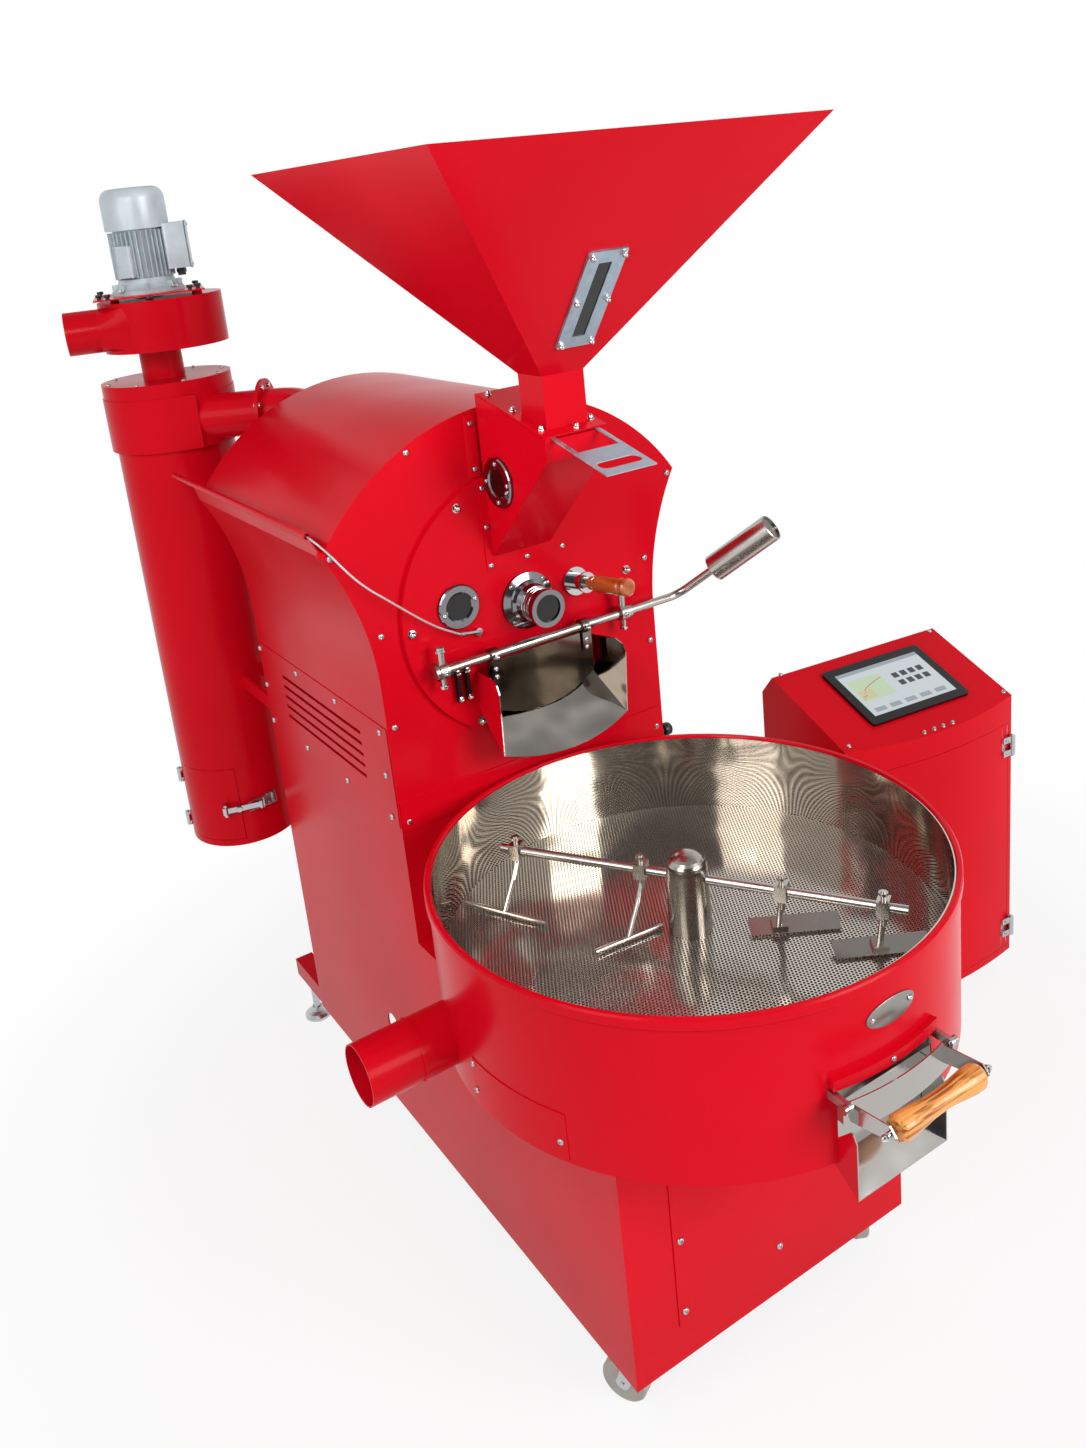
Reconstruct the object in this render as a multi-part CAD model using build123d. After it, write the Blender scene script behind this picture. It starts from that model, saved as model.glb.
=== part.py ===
from build123d import *
import math
import os

# A shop-size drum coffee roaster: body with a turning drum, loading hopper, cooling tray with a stirrer,
# chaff cyclone with a blower, and a control cabinet. Millimetres, +Z up, +X right as seen from the front,
# +Y towards the back. The model is built with the front plate's face at Y = 0 and the drum's axis at X = 0,
# then moved so that the origin lies on the floor below the middle of the whole machine.

# Driving dimensions -------------------------------------------------------------------------------------
SHEET = 3.0                 # body sheet
THIN = 2.0                  # stainless and chute sheet
SEAT = 0.3                  # clearance between pieces that move or curve past each other
RUN = 0.05                  # radial running clearance of a shaft in its bore

# Body
BODY_HALF = 281.0           # outer face of the side panels
BODY_DEPTH = 597.0          # back face of the rear plate
BASE_FRONT = -567.0         # front face of the base
PANEL_BOTTOM = 100.0        # floor to the lower edge of the panels
DECK_TOP = 570.0            # top of the deck that carries the tray
CREASE = 982.0              # top of the side panels
FLARE_START = 1045.0        # the flare's arc starts here, upright
FLARE_TIP_X = BODY_HALF + 67.0
COVER_CENTRE = 1057.0       # height of the drum cover's arc centre
COVER_R = 419.0
LIP_X, LIP_Z = FLARE_TIP_X + 10.0, 1325.0   # centre of the cable tube above the left flare's tip
LIP_R, LIP_WALL, LIP_FRONT, LIP_BACK = 6.0, 1.5, 20.0, BODY_DEPTH + 103.0
TAB_HALF, TAB_RISE, TAB_BOLT_X, TAB_BOLT_Z = 5.0, 5.0, FLARE_TIP_X - 13.0, 1287.0
STRIP_LOW, STRIP_HIGH, STRIP_PROUD = 788.0, 842.0, 2.0
SLOT_COUNT, SLOT_FRONT, SLOT_LENGTH, SLOT_WIDTH = 5, 116.0, 364.0, 7.0
SLOT_TOP, SLOT_PITCH = CREASE - 49.0, 21.0
LOUVRE_MARGIN, LOUVRE_TOP_MARGIN, LOUVRE_LOW, LOUVRE_PROUD = 4.0, 6.0, 793.0, 1.5   # raised sheet round the slots
CABLE_HOLE_Y, CABLE_HOLE_Z, CABLE_HOLE_R = 178.0, 295.0, 25.0
TUBE_SIDE = 40.0            # square tube of the base frame
FRAME_BACK = BODY_DEPTH + 148.0          # the rails reach past the body and carry the rear feet
FOOT_R, FOOT_STUD_R, FOOT_Y = 30.0, 8.0, FRAME_BACK - 36.0

# Drum
DRUM_Z = 1130.0
DRUM_R, DRUM_WALL, DRUM_FRONT, DRUM_LENGTH = 235.0, 3.0, 8.0, BODY_DEPTH - 65.0
DRUM_MOUTH = 216.0
FLIGHT_COUNT, FLIGHT_HEIGHT, FLIGHT_TWIST = 6, 32.0, 70.0
SHAFT_R, SHAFT_BACK = 20.0, BODY_DEPTH + 103.0
DISC_R, DISC_PROUD = 233.0, 10.0

# Ports in the drum front disc
CENTRE_SIGHT_X, CENTRE_SIGHT_R, CENTRE_BARREL_R, CENTRE_REACH = 5.0, 50.0, 29.5, 79.0
CENTRE_LENS_R, CENTRE_STEP_R = 24.0, 38.0
LEFT_SIGHT_X, LEFT_SIGHT_Z, LEFT_SIGHT_R, LEFT_LENS_R = -128.0, 1154.0, 38.5, 23.0
TRIER_X, TRIER_Z, TRIER_TILT = 105.0, 1138.0, 8.3
TRIER_R, TRIER_INSIDE, TRIER_GRIP_START, TRIER_GRIP_LENGTH, TRIER_GRIP_R = 9.0, 115.0, 52.0, 112.0, 15.0
SOCKET_R, SOCKET_NECK_R, SOCKET_REACH = 25.0, 15.0, 42.0
PROBE_X, PROBE_Z = -98.0, 1102.0

# Discharge door, its shaft and the chute below it
DOOR_SHAFT_Y, DOOR_SHAFT_Z, DOOR_SHAFT_R = -36.0, 1063.0, 7.5
DOOR_LEFT, DOOR_RIGHT, DOOR_ARC_R = -98.0, 112.0, 188.5
POST_X = 184.0
LEVER_BEND_X = 311.0
LEVER_DIR = Vector(0.469, -0.658, 0.590).normalized()
WEIGHT_START, WEIGHT_LENGTH, WEIGHT_R = 88.0, 134.0, 25.0
CHUTE_LEFT, CHUTE_RIGHT, CHUTE_ROOT = -110.0, 152.0, 127.0     # the right cheek splays out from its root
CHUTE_LIP_Y, CHUTE_LIP_Z, CHUTE_SLOPE = -76.0, 897.0, 46.3
CHUTE_TOP, CHUTE_NOSE_Y, CHUTE_NOSE_Z = 1033.0, -83.0, 1010.0
CHUTE_LIP_BULGE = 27.0
DOOR_OPENING_TOP, LOAD_OPENING_TOP = 1046.0, 1330.0

# Loading chute, neck, hopper and slide gate
LOAD_X, LOAD_WIDTH = 6.0, 114.0
LOAD_FRONT, LOAD_FRONT_TOP, LOAD_FRONT_LOW, LOAD_FOOT_Z = -209.0, 1442.0, 1409.0, 1220.0
LOAD_INCLINE, LOAD_TOP_LENGTH = 15.5, 203.0
NECK_WIDTH, NECK_FRONT, NECK_BACK, NECK_TOP = 76.0, -188.0, -120.0, 1535.0
HOPPER_WIDTH, HOPPER_FRONT, HOPPER_BACK, HOPPER_RIM = 641.0, -452.0, 114.0, 1867.0
WINDOW_WIDTH, WINDOW_HEIGHT, WINDOW_Z = 66.0, 176.0, 1647.0
GATE_WIDTH, GATE_THICK = 90.0, 2.0
GATE_OUT, GATE_PLATE, GATE_BLADE = 141.0, 82.0, 88.0
GATE_SLOT_HALF, GATE_SLOT_R, GATE_SLOT_IN = 26.0, 12.0, 30.0
SIDE_SIGHT_Y, SIDE_SIGHT_Z, SIDE_SIGHT_R = -61.0, 1357.0, 42.0

# Cooling tray
TRAY_Y = -410.0
TRAY_RIM_R, TRAY_R, TRAY_TOP = 400.0, 396.0, 824.0
LINER_R, FLOOR_Z = 388.0, 684.0
HUB_R, HUB_TOP, STIR_SHAFT_R = 34.0, 818.0, 15.0
ARM_Z, ARM_R, ARM_LEFT, ARM_RIGHT, ARM_ANGLE = 775.0, 7.5, 318.0, 329.0, -57.8
SUCTION_Y, SUCTION_Z, SUCTION_R, SUCTION_END, SUCTION_JOINT = -304.0, 622.0, 46.0, -529.0, -444.0
COVER_FROM, COVER_TO, COVER_LOW, COVER_HIGH = 179.0, 205.5, 575.0, 648.0
SADDLE_HALF = 8.5           # half angle of the pipe's saddle plate in the tray wall
HOOD_HALF, HOOD_LOW, HOOD_HIGH, HOOD_PROUD = 94.0, 688.0, 704.0, 9.0
PADDLE_LEAN = 68.0
OUTLET_HALF, OUTLET_LIP_Y, OUTLET_LIP_Z, OUTLET_SLOPE = 84.0, -828.5, 531.5, 38.0
OUTLET_BACK, OUTLET_WALL_TOP = -715.0, 629.0
FLAP_HINGE_Y, FLAP_HINGE_Z, FLAP_BAND, FLAP_EAR = -827.0, 680.0, 46.0, 104.0
LUG_IN, LUG_OUT = 91.0, 97.7
FLAP_Y, FLAP_ARM = -786.0, 84.0
GRIP_Y, GRIP_Z, GRIP_LENGTH, GRIP_R, GRIP_PIN_END = -885.0, 676.0, 152.0, 17.5, 92.0

# Cyclone and blower, on one upright axis
CYC_X, CYC_Y = -295.0, 871.0
CYC_TURN = -15.42           # the inlet and outlet run square to this heading
BARREL_R, BARREL_LOW, SCROLL_LOW, SCROLL_HIGH, CAP_HIGH = 121.0, 460.0, 1365.0, 1474.0, 1503.0
SCROLL_R, INLET_R, INLET_OFFSET, INLET_HALF = 134.5, 46.0, -82.5, 52.0
INLET_START, INLET_Z, INLET_JOINT, INLET_FLANGE = 52.0, 1419.5, 148.0, 22.0
NECK_R, VOLUTE_LOW, VOLUTE_HIGH, VOLUTE_R, VOLUTE_SHIFT = 43.0, 1566.0, 1667.0, 125.0, 19.0
OUTLET_PIPE_R, OUTLET_PIPE_ROOT, OUTLET_PIPE_END, OUTLET_PIPE_SIDE = 43.0, -108.0, -172.0, -55.0
PLATE_SIDE, PLATE_GAP = 216.0, 8.0
MOTOR_R, MOTOR_FIN_R, MOTOR_FINS, COWL_R, COWL_LOW, MOTOR_TOP = 50.0, 60.0, 20, 63.5, 1804.0, 1885.0
IMPELLER_R, IMPELLER_BLADES, MOTOR_SHAFT_R = 95.0, 8, 7.0
ASH_LOW, ASH_HIGH, ASH_FROM, ASH_TO, ASH_GAP = 475.0, 648.0, 166.0, 251.0, 1.0
ASH_HINGES = (500.0, 610.0)
LATCH_Z, LATCH_REACH = 555.0, 42.0

# Control cabinet, in its own frame: u along the front, v to the back
CAB_X, CAB_Y, CAB_TURN = 612.75, -144.05, -6.65
CAB_WIDTH, CAB_BULGE, CAB_DEPTH = 444.0, 27.0, 268.7
CAB_LOW, CAB_FRONT_TOP, CAB_RIDGE_V, CAB_RIDGE_Z, CAB_BACK_Z = 55.0, 675.0, 231.5, 759.0, 715.0
CAB_SHEET = 2.0
SCREEN_WIDTH, SCREEN_HEIGHT, SCREEN_THICK, SCREEN_U, SCREEN_V = 258.0, 174.0, 7.0, 101.5, 36.0
CAB_DOOR_LOW, CAB_DOOR_HIGH, CAB_DOOR_MARGIN = 72.0, 616.0, 12.0
CAB_HINGES = (122.0, 564.0)

# Casters: (wheel radius, wheel width, overall height, trail, kingpin radius, bearing plate)
BASE_CASTER = dict(wheel_r=37.5, width=24.0, height=100.0, trail=25.0, pin_r=6.0, plate=6.0)
CAB_CASTER = dict(wheel_r=20.0, width=15.0, height=55.0, trail=13.0, pin_r=4.0, plate=5.0)
BASE_CASTER_X, BASE_CASTER_Y, BASE_CASTER_HEADING = BODY_HALF - 43.0, -513.0, 63.0

MIN3 = (Align.MIN, Align.MIN, Align.MIN)
ON_FLOOR = (Align.CENTER, Align.CENTER, Align.MIN)


# Small building functions -------------------------------------------------------------------------------
def block(x0, x1, y0, y1, z0, z1):
    return Pos(x0, y0, z0) * Box(x1 - x0, y1 - y0, z1 - z0, align=MIN3)


def rod(p, q, r, inner=0.0):
    """A round bar or tube from point p to point q."""
    p, q = Vector(*p), Vector(*q)
    length = (q - p).length
    plane = Plane(origin=p, z_dir=q - p)
    bar = Cylinder(r, length, align=ON_FLOOR)
    if inner > 0:
        bar -= Cylinder(inner, length, align=ON_FLOOR)
    return plane * bar


def plate_x(points, x0, x1):
    """A plate between two X planes, outlined by (y, z) points."""
    face = make_face(Polyline(*[(x0, y, z) for y, z in points], close=True))
    return extrude(face, amount=x1 - x0, dir=(1, 0, 0))


def plate_y(points, y0, y1):
    """A plate between two Y planes, outlined by (x, z) points."""
    face = make_face(Polyline(*[(x, y0, z) for x, z in points], close=True))
    return extrude(face, amount=y1 - y0, dir=(0, 1, 0))


def disc_z(x, y, r, z0, z1):
    return Pos(x, y, z0) * Cylinder(r, z1 - z0, align=ON_FLOOR)


def disc_y(x, z, r, y0, y1):
    return Pos(x, y0, z) * Rot(-90, 0, 0) * Cylinder(r, y1 - y0, align=ON_FLOOR)


def disc_x(y, z, r, x0, x1):
    return Pos(x0, y, z) * Rot(0, 90, 0) * Cylinder(r, x1 - x0, align=ON_FLOOR)


def turned(points, axis):
    """A solid of revolution from (radius, height) points about the Z axis of the given location."""
    face = make_face(Polyline(*[(r, 0, h) for r, h in points], close=True))
    return axis * revolve(face, Axis.Z)


def polar(r, degrees):
    return r * math.cos(math.radians(degrees)), r * math.sin(math.radians(degrees))


def sector(x, y, r_in, r_out, a0, a1, z0, z1):
    """A curved plate about an upright axis, from angle a0 to a1."""
    am = (a0 + a1) / 2
    outer = [polar(r_out, a) for a in (a0, am, a1)]
    inner = [polar(r_in, a) for a in (a1, am, a0)]
    path = [ThreePointArc(*outer), Line(outer[2], inner[0]), ThreePointArc(*inner), Line(inner[2], outer[0])]
    return Pos(x, y, z0) * extrude(make_face(path), amount=z1 - z0, dir=(0, 0, 1))


# Body ---------------------------------------------------------------------------------------------------
FLARE_RISE = math.sqrt(COVER_R ** 2 - FLARE_TIP_X ** 2) + COVER_CENTRE - FLARE_START
FLARE_OUT = FLARE_TIP_X - BODY_HALF
FLARE_R = (FLARE_OUT ** 2 + FLARE_RISE ** 2) / (2 * FLARE_OUT)
FLARE_CENTRE_X = BODY_HALF + FLARE_R
FLARE_ANGLE = math.degrees(math.asin(FLARE_RISE / FLARE_R))
FLARE_TIP_Z = FLARE_START + FLARE_RISE
LIP_RUN = math.hypot(LIP_X - FLARE_TIP_X, LIP_Z - FLARE_TIP_Z)
STRIP_DIR = ((LIP_X - FLARE_TIP_X) / LIP_RUN, (LIP_Z - FLARE_TIP_Z) / LIP_RUN)


def flare_point(inset, degrees):
    """A point of the flare's arc, inset towards the body by the given amount."""
    dx, dz = polar(FLARE_R + inset, degrees)
    return FLARE_CENTRE_X - dx, FLARE_START + dz


def end_plate(y0, y1, low):
    """The outline that front and rear plate share: upright sides, flares and the cover's arc."""
    def at(x, z):
        return (x, y0, z)
    right_mid = flare_point(0, FLARE_ANGLE / 2)
    tip = (FLARE_TIP_X, FLARE_TIP_Z)
    edges = [
        Line(at(-BODY_HALF, low), at(BODY_HALF, low)),
        Line(at(BODY_HALF, low), at(BODY_HALF, FLARE_START)),
        ThreePointArc(at(BODY_HALF, FLARE_START), at(*right_mid), at(*tip)),
        ThreePointArc(at(*tip), at(0, COVER_CENTRE + COVER_R), at(-tip[0], tip[1])),
        ThreePointArc(at(-tip[0], tip[1]), at(-right_mid[0], right_mid[1]), at(-BODY_HALF, FLARE_START)),
        Line(at(-BODY_HALF, FLARE_START), at(-BODY_HALF, low)),
    ]
    return extrude(make_face(edges), amount=y1 - y0, dir=(0, 1, 0))


def flare_profile(y0, y1, thick, outward=0.0, strip=False):
    """The right flare sheet, with a straight strip above its tip if asked; outward > 0 fills the outside."""
    reach = LIP_RUN - LIP_R + 1
    def path(inset):
        start, mid, end = (flare_point(inset, a) for a in (0, FLARE_ANGLE / 2, FLARE_ANGLE))
        far = (end[0] + reach * STRIP_DIR[0], end[1] + reach * STRIP_DIR[1])
        return (BODY_HALF - inset, CREASE), start, mid, end, far
    a, b = path(0), path(thick)
    if outward:
        outside = BODY_HALF + outward
        points = [(outside, b[4][1]), (outside, CREASE)]
    else:
        points = [a[4], a[3]]
    edges = [Line((b[0][0], y0, b[0][1]), (b[1][0], y0, b[1][1])),
             ThreePointArc(*[(p[0], y0, p[1]) for p in b[1:4]])]
    if outward or strip:
        edges += [Line((b[3][0], y0, b[3][1]), (b[4][0], y0, b[4][1])),
                  Line((b[4][0], y0, b[4][1]), (points[0][0], y0, points[0][1])),
                  Line((points[0][0], y0, points[0][1]), (points[1][0], y0, points[1][1]))]
    else:
        edges.append(Line((b[3][0], y0, b[3][1]), (a[3][0], y0, a[3][1])))
    if outward:
        edges.append(Line((outside, y0, CREASE), (b[0][0], y0, CREASE)))
    else:
        edges += [ThreePointArc(*[(p[0], y0, p[1]) for p in (a[3], a[2], a[1])]),
                  Line((a[1][0], y0, a[1][1]), (a[0][0], y0, a[0][1])),
                  Line((a[0][0], y0, a[0][1]), (b[0][0], y0, b[0][1]))]
    return extrude(make_face(edges), amount=y1 - y0, dir=(0, 1, 0))


def rails():
    """Two long square tubes, clear of the panels, as plain bars."""
    half = BODY_HALF - SHEET
    return [block(s * half - (TUBE_SIDE if s > 0 else 0), s * half + (0 if s > 0 else TUBE_SIDE),
                  BASE_FRONT + SHEET, FRAME_BACK, PANEL_BOTTOM, PANEL_BOTTOM + TUBE_SIDE) for s in (-1, 1)]


def base_frame():
    half, inner = BODY_HALF - SHEET, BODY_HALF - SHEET - TUBE_SIDE
    top = PANEL_BOTTOM + TUBE_SIDE
    front = BASE_FRONT + SHEET
    frame = Part() + rails()
    for y in (front + 20, -TUBE_SIDE, BODY_DEPTH - SHEET - TUBE_SIDE):
        frame += block(-inner, inner, y, y + TUBE_SIDE, PANEL_BOTTOM, top)
    for s in (-1, 1):
        for y in (front, -TUBE_SIDE):
            x0 = s * half if s < 0 else inner
            frame += block(x0, x0 + TUBE_SIDE, y, y + TUBE_SIDE, top, DECK_TOP - SHEET)
        plate = BASE_CASTER["plate"]
        cx = s * BASE_CASTER_X
        seat = block(cx - 35, cx + 35, BASE_CASTER_Y - 35, BASE_CASTER_Y + 35, PANEL_BOTTOM - plate, PANEL_BOTTOM)
        frame += seat
        frame -= disc_z(cx, BASE_CASTER_Y, BASE_CASTER["pin_r"] + RUN, PANEL_BOTTOM - plate, PANEL_BOTTOM + 14)
    deck = block(-BODY_HALF, BODY_HALF, BASE_FRONT, SHEET, DECK_TOP - SHEET, DECK_TOP)
    deck -= disc_z(0, TRAY_Y, STIR_SHAFT_R + 10, DECK_TOP - SHEET, DECK_TOP)
    return frame + deck


def rear_feet():
    feet = Part()
    for s in (-1, 1):
        x = s * (BODY_HALF - SHEET - TUBE_SIDE / 2)
        foot = turned([(0, 0), (FOOT_R, 0), (FOOT_R, 6), (FOOT_R - 6, 11), (14, 15), (11, 24), (0, 24)],
                      Pos(x, FOOT_Y, 0))
        foot += disc_z(x, FOOT_Y, FOOT_STUD_R, 20, PANEL_BOTTOM)
        foot += Pos(x, FOOT_Y, PANEL_BOTTOM - 10) * extrude(RegularPolygon(13, 6), 10)
        feet += foot
    return feet


def side_panel(side):
    front = BASE_FRONT + SHEET
    back = BODY_DEPTH - SHEET
    outline = [(front, PANEL_BOTTOM), (back, PANEL_BOTTOM), (back, CREASE), (SHEET, CREASE),
               (SHEET, DECK_TOP - SHEET), (front, DECK_TOP - SHEET)]
    x0, x1 = sorted((side * BODY_HALF, side * (BODY_HALF - SHEET)))
    panel = plate_x(outline, x0, x1)
    c0, c1 = sorted((side * BODY_HALF, side * (BODY_HALF + LOUVRE_PROUD)))
    panel += block(c0, c1, LOUVRE_MARGIN, BODY_DEPTH - LOUVRE_MARGIN, LOUVRE_LOW, CREASE - LOUVRE_TOP_MARGIN)
    x0, x1 = min(x0, c0), max(x1, c1)
    for i in range(SLOT_COUNT):
        z = SLOT_TOP - i * SLOT_PITCH
        panel -= block(x0, x1, SLOT_FRONT, SLOT_FRONT + SLOT_LENGTH, z - SLOT_WIDTH / 2, z + SLOT_WIDTH / 2)
    if side < 0:
        panel -= disc_x(CABLE_HOLE_Y, CABLE_HOLE_Z, CABLE_HOLE_R, x0, x1)
    return panel


def base_front_panel():
    """The base's front sheet with the removable cover on it, 2 mm proud."""
    panel = block(-BODY_HALF, BODY_HALF, BASE_FRONT, BASE_FRONT + SHEET, PANEL_BOTTOM, DECK_TOP - SHEET)
    cover = block(-196, 196, BASE_FRONT - THIN, BASE_FRONT, 166, DECK_TOP - SHEET - 4)
    return panel + cover


def front_plate():
    plate = end_plate(0, SHEET, DECK_TOP)
    plate += block(-BODY_HALF + 2, BODY_HALF - 2, -STRIP_PROUD, 0, STRIP_LOW, STRIP_HIGH)
    return plate - disc_y(0, DRUM_Z, DRUM_MOUTH, 0, SHEET)


def rear_plate():
    plate = end_plate(BODY_DEPTH - SHEET, BODY_DEPTH, PANEL_BOTTOM)
    plate -= disc_y(0, DRUM_Z, SHAFT_R + 4, BODY_DEPTH - SHEET, BODY_DEPTH)
    plate -= disc_y(DUCT_END[0], DUCT_END[2], INLET_R - 1, BODY_DEPTH - SHEET, BODY_DEPTH)
    for rail in rails():
        plate -= rail
    return plate


def drum_cover():
    y0, y1 = SHEET, BODY_DEPTH - SHEET
    ring = disc_y(0, COVER_CENTRE, COVER_R, y0, y1) - disc_y(0, COVER_CENTRE, COVER_R - SHEET, y0, y1)
    ring &= block(-COVER_R, COVER_R, y0, y1, FLARE_TIP_Z - 60, COVER_CENTRE + COVER_R)
    outside = flare_profile(y0, y1, SHEET, outward=200)
    return ring - outside - mirror(outside, about=Plane.YZ)


def cable_tab(y0):
    """Rounded tab of the strip that lies on the front plate's corner, under a bolt."""
    root = (FLARE_TIP_X + TAB_RISE * STRIP_DIR[0], FLARE_TIP_Z + TAB_RISE * STRIP_DIR[1])
    run = math.hypot(TAB_BOLT_X - root[0], TAB_BOLT_Z - root[1])
    nx, nz = TAB_HALF * (TAB_BOLT_Z - root[1]) / run, TAB_HALF * (root[0] - TAB_BOLT_X) / run
    tab = plate_y([(root[0] + nx, root[1] + nz), (root[0] - nx, root[1] - nz), (TAB_BOLT_X - nx, TAB_BOLT_Z - nz),
                   (TAB_BOLT_X + nx, TAB_BOLT_Z + nz)], -THIN, y0 + 1)
    tab += disc_y(*root, TAB_HALF, -THIN, y0 + 1) + disc_y(TAB_BOLT_X, TAB_BOLT_Z, TAB_HALF, -THIN, y0 + 1)
    return tab - end_plate(0, y0 + 2, DECK_TOP)


def flares():
    """Both flare sheets; the left one goes on as a strip with the cable tube and its front tab."""
    y0, y1 = SHEET, BODY_DEPTH - SHEET
    left = flare_profile(y0, y1, SHEET, strip=True)
    low, high = FLARE_TIP_Z + 2 * TAB_RISE, LIP_Z + LIP_R
    left -= plate_x([(y0, low), (LIP_FRONT, LIP_Z - LIP_R + 1), (LIP_FRONT, high), (y0, high)],
                    FLARE_TIP_X - 10, LIP_X + LIP_R)
    left += rod((LIP_X, LIP_FRONT, LIP_Z), (LIP_X, LIP_BACK, LIP_Z), LIP_R, LIP_R - LIP_WALL)
    left += cable_tab(y0)
    return flare_profile(y0, y1, SHEET) + mirror(left, about=Plane.YZ)


# Drum and what sits on its front disc -------------------------------------------------------------------
def drum():
    """Open-fronted drum with a mouth ring, helical flights, a spoked back and the drive shaft."""
    back = DRUM_FRONT + DRUM_LENGTH
    inner = DRUM_R - DRUM_WALL
    shell = disc_y(0, DRUM_Z, DRUM_R, DRUM_FRONT, back) - disc_y(0, DRUM_Z, inner, DRUM_FRONT + SHEET, back)
    shell -= disc_y(0, DRUM_Z, DRUM_MOUTH, DRUM_FRONT, DRUM_FRONT + SHEET)
    end = disc_y(0, DRUM_Z, inner + 1, back - 8, back)
    for i in range(6):
        window = sector(0, 0, 50, inner - 22, 60 * i + 8, 60 * i + 52, 0, 8)
        end -= Pos(0, back, DRUM_Z) * Rot(90, 0, 0) * window
    shell += end
    for i in range(FLIGHT_COUNT):
        angle = 360 / FLIGHT_COUNT * i
        flight = Rectangle(FLIGHT_HEIGHT, SHEET)
        flight = Pos(inner - FLIGHT_HEIGHT / 2 + 1, 0, 0) * flight
        blade = Solid.extrude_linear_with_rotation(
            flight.faces()[0], (0, 0, 0), (0, 0, DRUM_LENGTH - 30), FLIGHT_TWIST)
        shell += Pos(0, DRUM_FRONT + 15, DRUM_Z) * Rot(-90, 0, 0) * Rot(0, 0, angle) * blade
    shell += disc_y(0, DRUM_Z, SHAFT_R + 16, back - 40, back + 10)
    return shell + disc_y(0, DRUM_Z, SHAFT_R, back - 40, SHAFT_BACK)


def drum_gearmotor():
    """Flange bearing, gearbox and motor on the back of the rear plate; the shaft runs in its bore."""
    y = BODY_DEPTH
    unit = disc_y(0, DRUM_Z, 75, y, y + 12)
    unit += block(-70, 70, y + 12, y + 112, DRUM_Z - 80, DRUM_Z + 80)
    unit += disc_z(0, y + 62, 62, DRUM_Z - 290, DRUM_Z - 80)
    unit += block(62 - 10, 62 + 30, y + 27, y + 97, DRUM_Z - 230, DRUM_Z - 140)
    return unit - disc_y(0, DRUM_Z, SHAFT_R + RUN, y, y + 112)


def trier_axis(y):
    """The trier's axis at a given Y; it rises towards the front."""
    slope = math.tan(math.radians(TRIER_TILT))
    return (TRIER_X, y, TRIER_Z - slope * (y + DISC_PROUD))


def drum_front_disc():
    disc = disc_y(0, DRUM_Z, DISC_R, -DISC_PROUD, 0)
    disc -= disc_y(CENTRE_SIGHT_X, DRUM_Z, CENTRE_LENS_R + 2, -DISC_PROUD, 0)
    disc -= disc_y(LEFT_SIGHT_X, LEFT_SIGHT_Z, LEFT_LENS_R + 1, -DISC_PROUD, 0)
    disc -= rod(trier_axis(-60), trier_axis(30), TRIER_R + 1.5)
    disc -= disc_y(PROBE_X, PROBE_Z, 3.1, -DISC_PROUD, 0)
    disc -= block(*load_opening(), -DISC_PROUD, 0, LOAD_FOOT_Z + 4, LOAD_OPENING_TOP)
    left, right = door_opening()
    disc -= block(left, right, -DISC_PROUD, 0, floor_line(-DISC_PROUD) + 3, DOOR_OPENING_TOP)
    neck_wall = 2.5
    neck = block(left - neck_wall, right + neck_wall, DOOR_SHAFT_Y + 1 + SEAT, -DISC_PROUD,
                 floor_line(-DISC_PROUD) + 3 - neck_wall, DOOR_OPENING_TOP + neck_wall)
    neck -= block(left, right, DOOR_SHAFT_Y + 1 + SEAT, -DISC_PROUD, floor_line(-DISC_PROUD) + 3, DOOR_OPENING_TOP)
    return disc + neck


def door_opening():
    return DOOR_LEFT + 14, DOOR_RIGHT - 20


def floor_line(y):
    """Height of the discharge chute's floor at a given Y."""
    return CHUTE_LIP_Z + math.tan(math.radians(CHUTE_SLOPE)) * (y - CHUTE_LIP_Y)


def load_opening():
    return LOAD_X - 44, LOAD_X + 44


def centre_sight():
    """Bell-shaped flange with a barrel and a retaining ring."""
    r = CENTRE_BARREL_R
    reach = CENTRE_REACH - DISC_PROUD
    step = CENTRE_STEP_R
    outer = [(CENTRE_LENS_R + 1, 0), (CENTRE_SIGHT_R, 0), (CENTRE_SIGHT_R, 6), (step + 6, 8), (step, 10),
             (step, 16), (r + 4, 20), (r, 27),
             (r, reach - 14), (r + 3, reach - 12), (r + 3, reach), (CENTRE_LENS_R, reach),
             (CENTRE_LENS_R, reach - 3), (CENTRE_LENS_R + 3, reach - 3), (CENTRE_LENS_R + 3, reach - 9),
             (CENTRE_LENS_R + 1, reach - 9)]
    return turned(outer, Pos(CENTRE_SIGHT_X, -DISC_PROUD, DRUM_Z) * Rot(90, 0, 0))


def port_ring(location, r_out, r_lens):
    """Flat sight-glass flange with a recess for the lens."""
    points = [(r_lens, 0), (r_out, 0), (r_out, 5), (r_out - 2, 7), (r_lens + 3, 7), (r_lens, 5),
              (r_lens, 4.3), (r_lens + 2, 4.3), (r_lens + 2, 1), (r_lens, 1)]
    return turned(points, location)


def sight_flanges():
    rings = centre_sight()
    rings += port_ring(Pos(LEFT_SIGHT_X, -DISC_PROUD, LEFT_SIGHT_Z) * Rot(90, 0, 0), LEFT_SIGHT_R, LEFT_LENS_R)
    rings += port_ring(side_sight_location(), SIDE_SIGHT_R, LEFT_LENS_R)
    return rings


def side_sight_location():
    return Pos(LOAD_X - LOAD_WIDTH / 2, SIDE_SIGHT_Y, SIDE_SIGHT_Z) * Rot(0, -90, 0)


def lens(location, r, low, high):
    return location * Pos(0, 0, low) * Cylinder(r, high - low, align=ON_FLOOR)


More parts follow.
